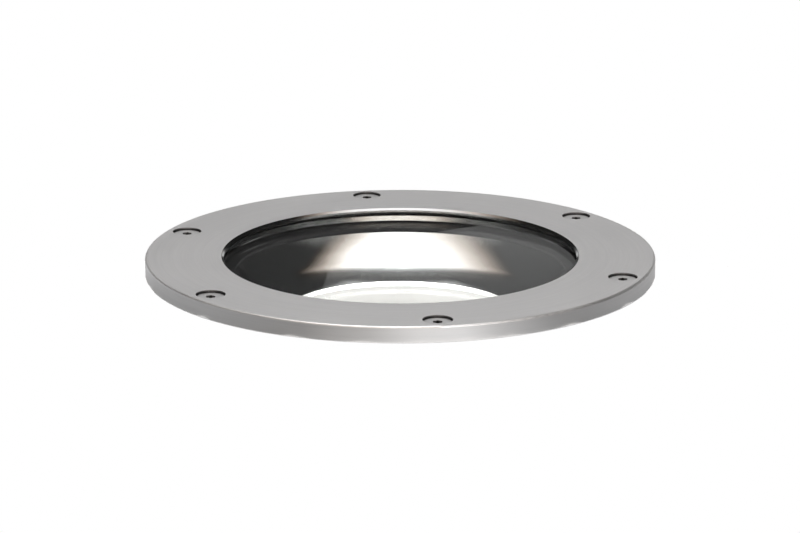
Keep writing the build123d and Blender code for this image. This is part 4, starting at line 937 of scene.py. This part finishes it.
@dataclass
class LightEngine(SubAssembly):
    """The LED board on its heat spreader."""

    title: ClassVar[str] = "Light engine"
    finishes: ClassVar[SlotNodes] = {
        Slot.WHITE_PLASTIC: ("led_board", "led_connector"),
        Slot.LED_LENS: ("leds",),
        Slot.PLAIN_ALUMINIUM: ("heat_spreader",),
        Slot.STAINLESS_FASTENERS: ("board_screws", "spreader_screws"),
        Slot.RED_WIRE: ("led_lead_plus",),
        Slot.BLACK_WIRE: ("led_lead_minus",),
    }


@dataclass
class DriverBay(SubAssembly):
    """The casting with the driver, the terminals and the earth connection in it."""

    title: ClassVar[str] = "Driver bay"
    finishes: ClassVar[SlotNodes] = {
        Slot.CAST_ALUMINIUM: ("luminaire_housing",),
        Slot.BLACK_RUBBER: ("cover_seal",),
        Slot.PLAIN_ALUMINIUM: ("driver_case", "driver_lid"),
        Slot.CIRCUIT: ("driver_circuit",),
        Slot.GREY_PLASTIC: ("terminal_block",),
        Slot.ORANGE_PLASTIC: ("lever_earth", "lever_neutral", "lever_live"),
        Slot.STAINLESS_FASTENERS: (
            "flange_screws", "driver_screws", "block_screws", "lever_pin", "earth_washer", "earth_screw",
        ),
        Slot.TINNED_COPPER: ("earth_lug",),
        Slot.BLUE_WIRE: ("mains_lead_neutral",),
        Slot.BROWN_WIRE: ("mains_lead_live",),
        Slot.GREEN_WIRE: ("earth_lead",),
    }


@dataclass
class Fittings(SubAssembly):
    """The cable glands and the breather."""

    title: ClassVar[str] = "Fittings"
    finishes: ClassVar[SlotNodes] = {
        Slot.NICKEL_BRASS: ("gland_body_right", "gland_nut_right", "gland_body_left", "gland_nut_left"),
        Slot.BLACK_RUBBER: (
            "gland_seal_right", "gland_washer_right", "gland_seal_left", "gland_washer_left", "vent_washer",
        ),
        Slot.BLACK_PLASTIC: ("vent_plug",),
        Slot.MEMBRANE: ("vent_membrane",),
    }


@dataclass
class GroundSleeve(SubAssembly):
    """The sleeve that stays in the ground."""

    title: ClassVar[str] = "Ground sleeve"
    finishes: ClassVar[SlotNodes] = {
        Slot.BLACK_PLASTIC: (
            "installation_housing", "sleeve_base", "conduit_socket_right", "conduit_socket_left",
            "conduit_plug",
        ),
        Slot.BRASS: ("flange_inserts",),
        Slot.BLACK_RUBBER: ("flange_gasket",),
        Slot.STAINLESS_SHEET: ("drain_grate",),
    }


@dataclass
class Studio:
    """Floor, light cards, world and camera. Its directions are those of the camera, not of the part."""

    bearing: float = -8.68
    height_angle: float = 15.78
    distance: float = 2.1292
    lens: float = 168.2
    image_width: int = 800
    shift_right: float = -0.2
    shift_up: float = 2.76
    floor_radius: float = 0.8
    floor_hole: float = 0.02
    floor_steps: int = 256
    floor_height: float = -0.2123
    ground_radius: float = 0.1452
    apron_radius: float = 2.8
    shell_radius: float = 3.2
    canopy_radius: float = 3.0
    bank_radius: float = 3.05
    flag_height: float = 0.0002
    flag_inner: float = 0.1462
    flag_outer: float = 0.75
    card_share: float = 0.1
    card_half_width: float = 0.5
    card_depth: float = 0.45
    apron_overlap: float = 0.01
    apron_drop: float = 0.0003
    floor_tone: float = 0.8
    floor_glow: float = 0.6
    room_glow: float = 0.4
    dome_glow: float = 0.03
    below_glow: float = 0.6
    top_glow: float = 3.3
    front_glow: float = 1.2
    horizon_glow: float = 0.9
    bank_glow: float = 1.05
    back_rise: float = 5.6

    def build(self) -> None:
        """Sets everything up that isn't the light itself."""
        self.turn = Matrix.Rotation(radians(self.bearing), 4, "Z")
        self.glow_material = self.glow()
        self.floor()
        self.shell()
        self.canopy()
        self.back_bank()
        self.side_card()
        self.floor_flags()
        self.ground_card()
        self.world()
        self.camera()

    def background_share(self, tree: NodeTree) -> NodeSocket:
        """How much a ray sees the white background: 1 for camera, mirror and glass rays."""
        path = put(tree, "ShaderNodeLightPath")
        seen = sum_up(tree, "MAXIMUM", path.outputs["Is Camera Ray"], path.outputs["Is Glossy Ray"])
        return sum_up(tree, "MAXIMUM", seen, path.outputs["Is Transmission Ray"])

    @staticmethod
    def camera_only(sheet: Object) -> None:
        """Shows a card to the camera alone."""
        sheet.visible_camera = True
        sheet.visible_diffuse = sheet.visible_glossy = sheet.visible_transmission = False

    def ground_ring(self, name: str, inner: float, outer: float, height: float) -> Object:
        """Lays a flat ring about the part's axis.

        Args:
            name: its name.
            inner: its inner radius.
            outer: its outer radius.
            height: its height.

        Returns:
            The ring, as a card.
        """
        turns = [2 * pi * k / self.floor_steps for k in range(self.floor_steps + 1)]
        rows = [
            [Vector((reach * cos(turn), reach * sin(turn), height)) for turn in turns]
            for reach in (inner, outer)
        ]
        return self.card(name, rows, [[WHITE] * len(turns)] * 2)

    def floor(self) -> None:
        """Lays the pale floor, white but for the light's shadow, and a white apron round it."""
        plate = self.ground_ring("floor", self.floor_hole, self.floor_radius, self.floor_height)
        paint = bpy.data.materials.new("Floor, white")
        tree = cleared(paint)
        matt = put(tree, "ShaderNodeBsdfDiffuse", {"Color": (*(self.floor_tone,) * 3, 1.0)})
        strength = sum_up(tree, "MULTIPLY", self.background_share(tree), self.floor_glow)
        lit = put(tree, "ShaderNodeEmission", {"Color": (*WHITE, 1.0), "Strength": strength})
        both = put(tree, "ShaderNodeAddShader", {0: matt.outputs[0], 1: lit.outputs[0]})
        put(tree, "ShaderNodeOutputMaterial", {"Surface": both.outputs[0]})
        plate.data.materials[0] = paint
        plate.visible_camera = plate.visible_shadow = True
        inner, low = self.floor_radius - self.apron_overlap, self.floor_height - self.apron_drop
        self.camera_only(self.ground_ring("floor_apron", inner, self.apron_radius, low))

    def glow(self) -> Material:
        """Builds the light cards' material, whose brightness is kept on their corners."""
        material = bpy.data.materials.new("Light card")
        tree = cleared(material)
        colour = put(tree, "ShaderNodeAttribute", attribute_name="glow").outputs["Color"]
        lit = put(tree, "ShaderNodeEmission", {"Color": colour, "Strength": 1.0})
        put(tree, "ShaderNodeOutputMaterial", {"Surface": lit.outputs[0]})
        return material

    def card(self, name: str, rows: Sequence[Sequence[Vector]], glows: Sequence[Sequence[Colour]]) -> Object:
        """Builds a light card that only reflections and lit surfaces see.

        Args:
            name: the card's name.
            rows: its corners, row by row, in the camera's directions.
            glows: the brightness and colour at each corner.

        Returns:
            The card.
        """
        mesh = bpy.data.meshes.new(name)
        width = len(rows[0])
        corners = [self.turn @ corner for row in rows for corner in row]
        faces = [
            (r * width + k, r * width + k + 1, (r + 1) * width + k + 1, (r + 1) * width + k)
            for r in range(len(rows) - 1) for k in range(width - 1)
        ]
        mesh.from_pydata(corners, [], faces)
        layer = mesh.attributes.new("glow", "FLOAT_COLOR", "POINT")
        for number, colour in enumerate(colour for row in glows for colour in row):
            layer.data[number].color = (*colour, 1.0)
        mesh.materials.append(self.glow_material)
        sheet = added(name, mesh)
        sheet.visible_camera = sheet.visible_shadow = False
        return sheet

    def shell(self) -> None:
        """Closes the studio: dim over the object, with a lit horizon and a lighter ground below it."""
        stations = [(rise, self.dome_glow) for rise in (90.0, 60.0, 40.0, 25.0, 11.0)]
        stations += [(8.0, 0.1), (5.0, self.horizon_glow), (-2.0, self.horizon_glow)]
        stations += [(rise, self.below_glow) for rise in (-5.0, -40.0, -65.0, -90.0)]
        bearings = [90.0 - 360.0 * j / 64 for j in range(65)]
        rows = [[toward(rise, bearing) * self.shell_radius for bearing in bearings] for rise, _ in stations]
        self.card("studio_shell", rows, [[(glow, glow, glow)] * 65 for _, glow in stations])

    @staticmethod
    def edge_light(glow: float, share: float) -> Colour:
        """Colour of a light that fades and warms towards its edge, from its full glow and the share left."""
        fade = 1.0 - share
        return (glow * share, glow * share * (1.0 - 0.2 * fade), glow * share * (1.0 - 0.34 * fade))

    def mirrored(self, slope: float, bearing: float) -> Vector:
        """Where the bowl's wall, at a slope and a bearing from its far side, sends the camera's look."""
        return toward(-self.height_angle, 0.0).reflect(toward(90.0 - slope, 180.0 + bearing))

    def canopy(self) -> None:
        """Hangs the light over the object: the part that the bowl mirrors, then the part to the front.

        Each station has its angle, how far it reaches to the left and to the right, its glow, and the
        share of each side over which it fades.
        """
        bowl_stations = [
            (29.0, 47.0, 54.0, 0.04, 0.78, 0.81), (31.4, 47.0, 54.0, 0.7, 0.78, 0.81),
            (33.4, 47.0, 54.0, self.top_glow, 0.78, 0.81), (40.0, 40.5, 49.0, self.top_glow, 0.72, 0.84),
            (45.0, 36.0, 44.0, self.top_glow, 0.68, 0.85), (50.0, 32.0, 39.5, self.top_glow, 0.8, 0.97),
            (55.0, 28.5, 35.0, 3.1, 0.95, 1.1), (57.7, 25.5, 33.0, 2.8, 0.9, 1.1),
            (60.0, 21.5, 25.0, 2.4, 0.78, 0.94),
        ]
        front_stations = [
            (48.0, 30.0, 30.0, 1.4, 0.7, 0.7), (52.0, 38.0, 38.0, 1.35, 0.6, 0.6),
            (62.0, 40.0, 40.0, 1.35, 0.6, 0.6), (69.0, 42.0, 42.0, self.front_glow, 0.6, 0.6),
            (83.0, 42.0, 42.0, self.front_glow, 0.6, 0.6),
        ]
        front_tint = (1.0, 0.88, 0.76)
        rows, glows = [], []
        places = [k / 24 for k in range(-24, 25)]
        for number, station in enumerate(bowl_stations + front_stations):
            angle, left, right, glow, left_fade, right_fade = station
            bearings = [(left if place < 0 else right) * place for place in places]
            fades = [left_fade if place < 0 else right_fade for place in places]
            shares = [min(1.0, (1.0 - abs(place)) / fade) for place, fade in zip(places, fades)]
            colours = [self.edge_light(glow, share * share * (3.0 - 2.0 * share)) for share in shares]
            if number < len(bowl_stations):
                rise = self.back_rise if angle < 35.0 else 0.0
                angles = [angle + rise * abs(sin(radians(bearing))) for bearing in bearings]
                row = [self.mirrored(slope, bearing) for slope, bearing in zip(angles, bearings)]
            else:
                lean = radians(angle)
                row = [
                    Vector((-sin(turn), -sin(lean) * cos(turn), cos(lean) * cos(turn)))
                    for turn in map(radians, bearings)
                ]
                colours = [tuple(part * tint for part, tint in zip(colour, front_tint)) for colour in colours]
            rows.append([corner * self.canopy_radius for corner in row])
            glows.append(colours)
        self.card("light_canopy", rows, glows)

    def back_bank(self) -> None:
        """Stands a broad soft light high behind the object, over what the glass mirrors."""
        stations = [
            (24.0, 12.0, 0.0), (28.0, 15.0, self.bank_glow), (40.0, 20.0, self.bank_glow),
            (54.0, 24.0, self.bank_glow), (60.0, 30.0, 0.06), (76.0, 40.0, 0.03),
        ]
        places = [k / 12 for k in range(-12, 13)]
        rows = [
            [toward(rise, half_width * place) * self.bank_radius for place in places]
            for rise, half_width, _ in stations
        ]
        fades = [min(1.0, (1.0 - abs(place)) * 3.0) for place in places]
        self.card("back_bank", rows, [[(glow * fade,) * 3 for fade in fades] for *_, glow in stations])

    def side_card(self) -> None:
        """Stands a dim card behind the light on the right, which the glass mirrors."""
        edge = [
            (300, 612), (214, 619), (129, 629), (49, 641), (-19, 664), (-87, 687), (-102, 729), (-104, 742),
        ]
        depth, right, lowest, step = 2400.0, 900.0, 612.0, 30.0
        low = [Vector((x, depth, z)) * MILLIMETRE for x, z in edge]
        far = [Vector((right, depth, lowest + step * k)) * MILLIMETRE for k in range(len(edge))]
        glow = [(0.3 - 0.0012 * (z - lowest),) * 3 for _, z in edge]
        self.card("side_card", [low, far], [glow, glow])

    def floor_flags(self) -> None:
        """Lays dark flags on the floor round the ring, which only its outer side mirrors."""
        stations = [
            (-180.0, 0.8), (-150.0, 0.85), (-120.0, 0.85), (-100.0, 0.75), (-75.0, 0.38), (-48.0, 0.3),
            (-24.0, 0.19), (-8.0, 0.45), (4.0, 0.88), (14.0, 0.98), (24.0, 0.55), (40.0, 0.22), (60.0, 0.32),
            (80.0, 0.42), (104.0, 0.7), (130.0, 1.4), (150.0, 1.1), (180.0, 0.8),
        ]
        over = Vector((0.0, 0.0, self.flag_height))
        rows = [
            [toward(0.0, 180.0 - turn) * reach + over for reach in (self.flag_inner, self.flag_outer)]
            for turn, _ in stations
        ]
        flags = self.card("floor_flags", rows, [[(glow, glow, glow)] * 2 for _, glow in stations])
        flags.visible_diffuse = flags.visible_transmission = False

    def ground_card(self) -> None:
        """Stands a white card before the camera in the ground's place, which hides what is below the ring.

        The photograph shows the light let into white ground, and nothing below it. The card is what the
        camera sees of that ground in front of the ring, drawn together towards the camera, so that it leaves
        the whole light in view from everywhere else.
        """
        eye = toward(self.height_angle, 180.0) * self.distance
        end = Vector((self.card_half_width, 0.0, 0.0))
        near = [toward(0.0, 180.0 - bearing) * self.ground_radius for bearing in range(-90, 91)]
        edge = [-end, *near, end]
        low = [corner - Vector((0.0, 0.0, self.card_depth)) for corner in edge]
        rows = [[eye + (corner - eye) * self.card_share for corner in row] for row in (edge, low)]
        self.camera_only(self.card("ground_card", rows, [[WHITE] * len(edge)] * 2))

    def world(self) -> None:
        """Makes the background white for camera, mirror and glass rays."""
        world = bpy.data.worlds.new("Studio")
        tree = cleared(world)
        strength = stretch(tree, self.background_share(tree), 0.0, 1.0, self.room_glow, 1.0)
        white = put(tree, "ShaderNodeBackground", {"Color": (*WHITE, 1.0), "Strength": strength})
        put(tree, "ShaderNodeOutputWorld", {"Surface": white.outputs[0]})
        bpy.context.scene.world = world

    def camera(self) -> None:
        """Sets the camera where the photograph was taken from."""
        data = bpy.data.cameras.new("camera")
        data.lens = self.lens
        data.sensor_width = 36.0
        data.shift_x = self.shift_right / self.image_width
        data.shift_y = self.shift_up / self.image_width
        data.clip_end = 50.0
        stand = added("camera", data)
        back = self.turn @ toward(self.height_angle, 180.0)
        stand.location = back * self.distance
        stand.rotation_euler = back.to_track_quat("Z", "Y").to_euler()
        bpy.context.scene.camera = stand


def main() -> None:
    """Builds every sub-assembly and the studio, in order."""
    logging.basicConfig(level=logging.INFO, format="%(message)s")
    shop = Workshop()
    for assembly in (GlassCover(shop), Optics(shop), LightEngine(shop), DriverBay(shop), Fittings(shop),
                     GroundSleeve(shop)):
        assembly.build()
    Studio().build()
    bpy.context.scene.view_settings.view_transform = "Standard"


if __name__ == "__main__":
    main()
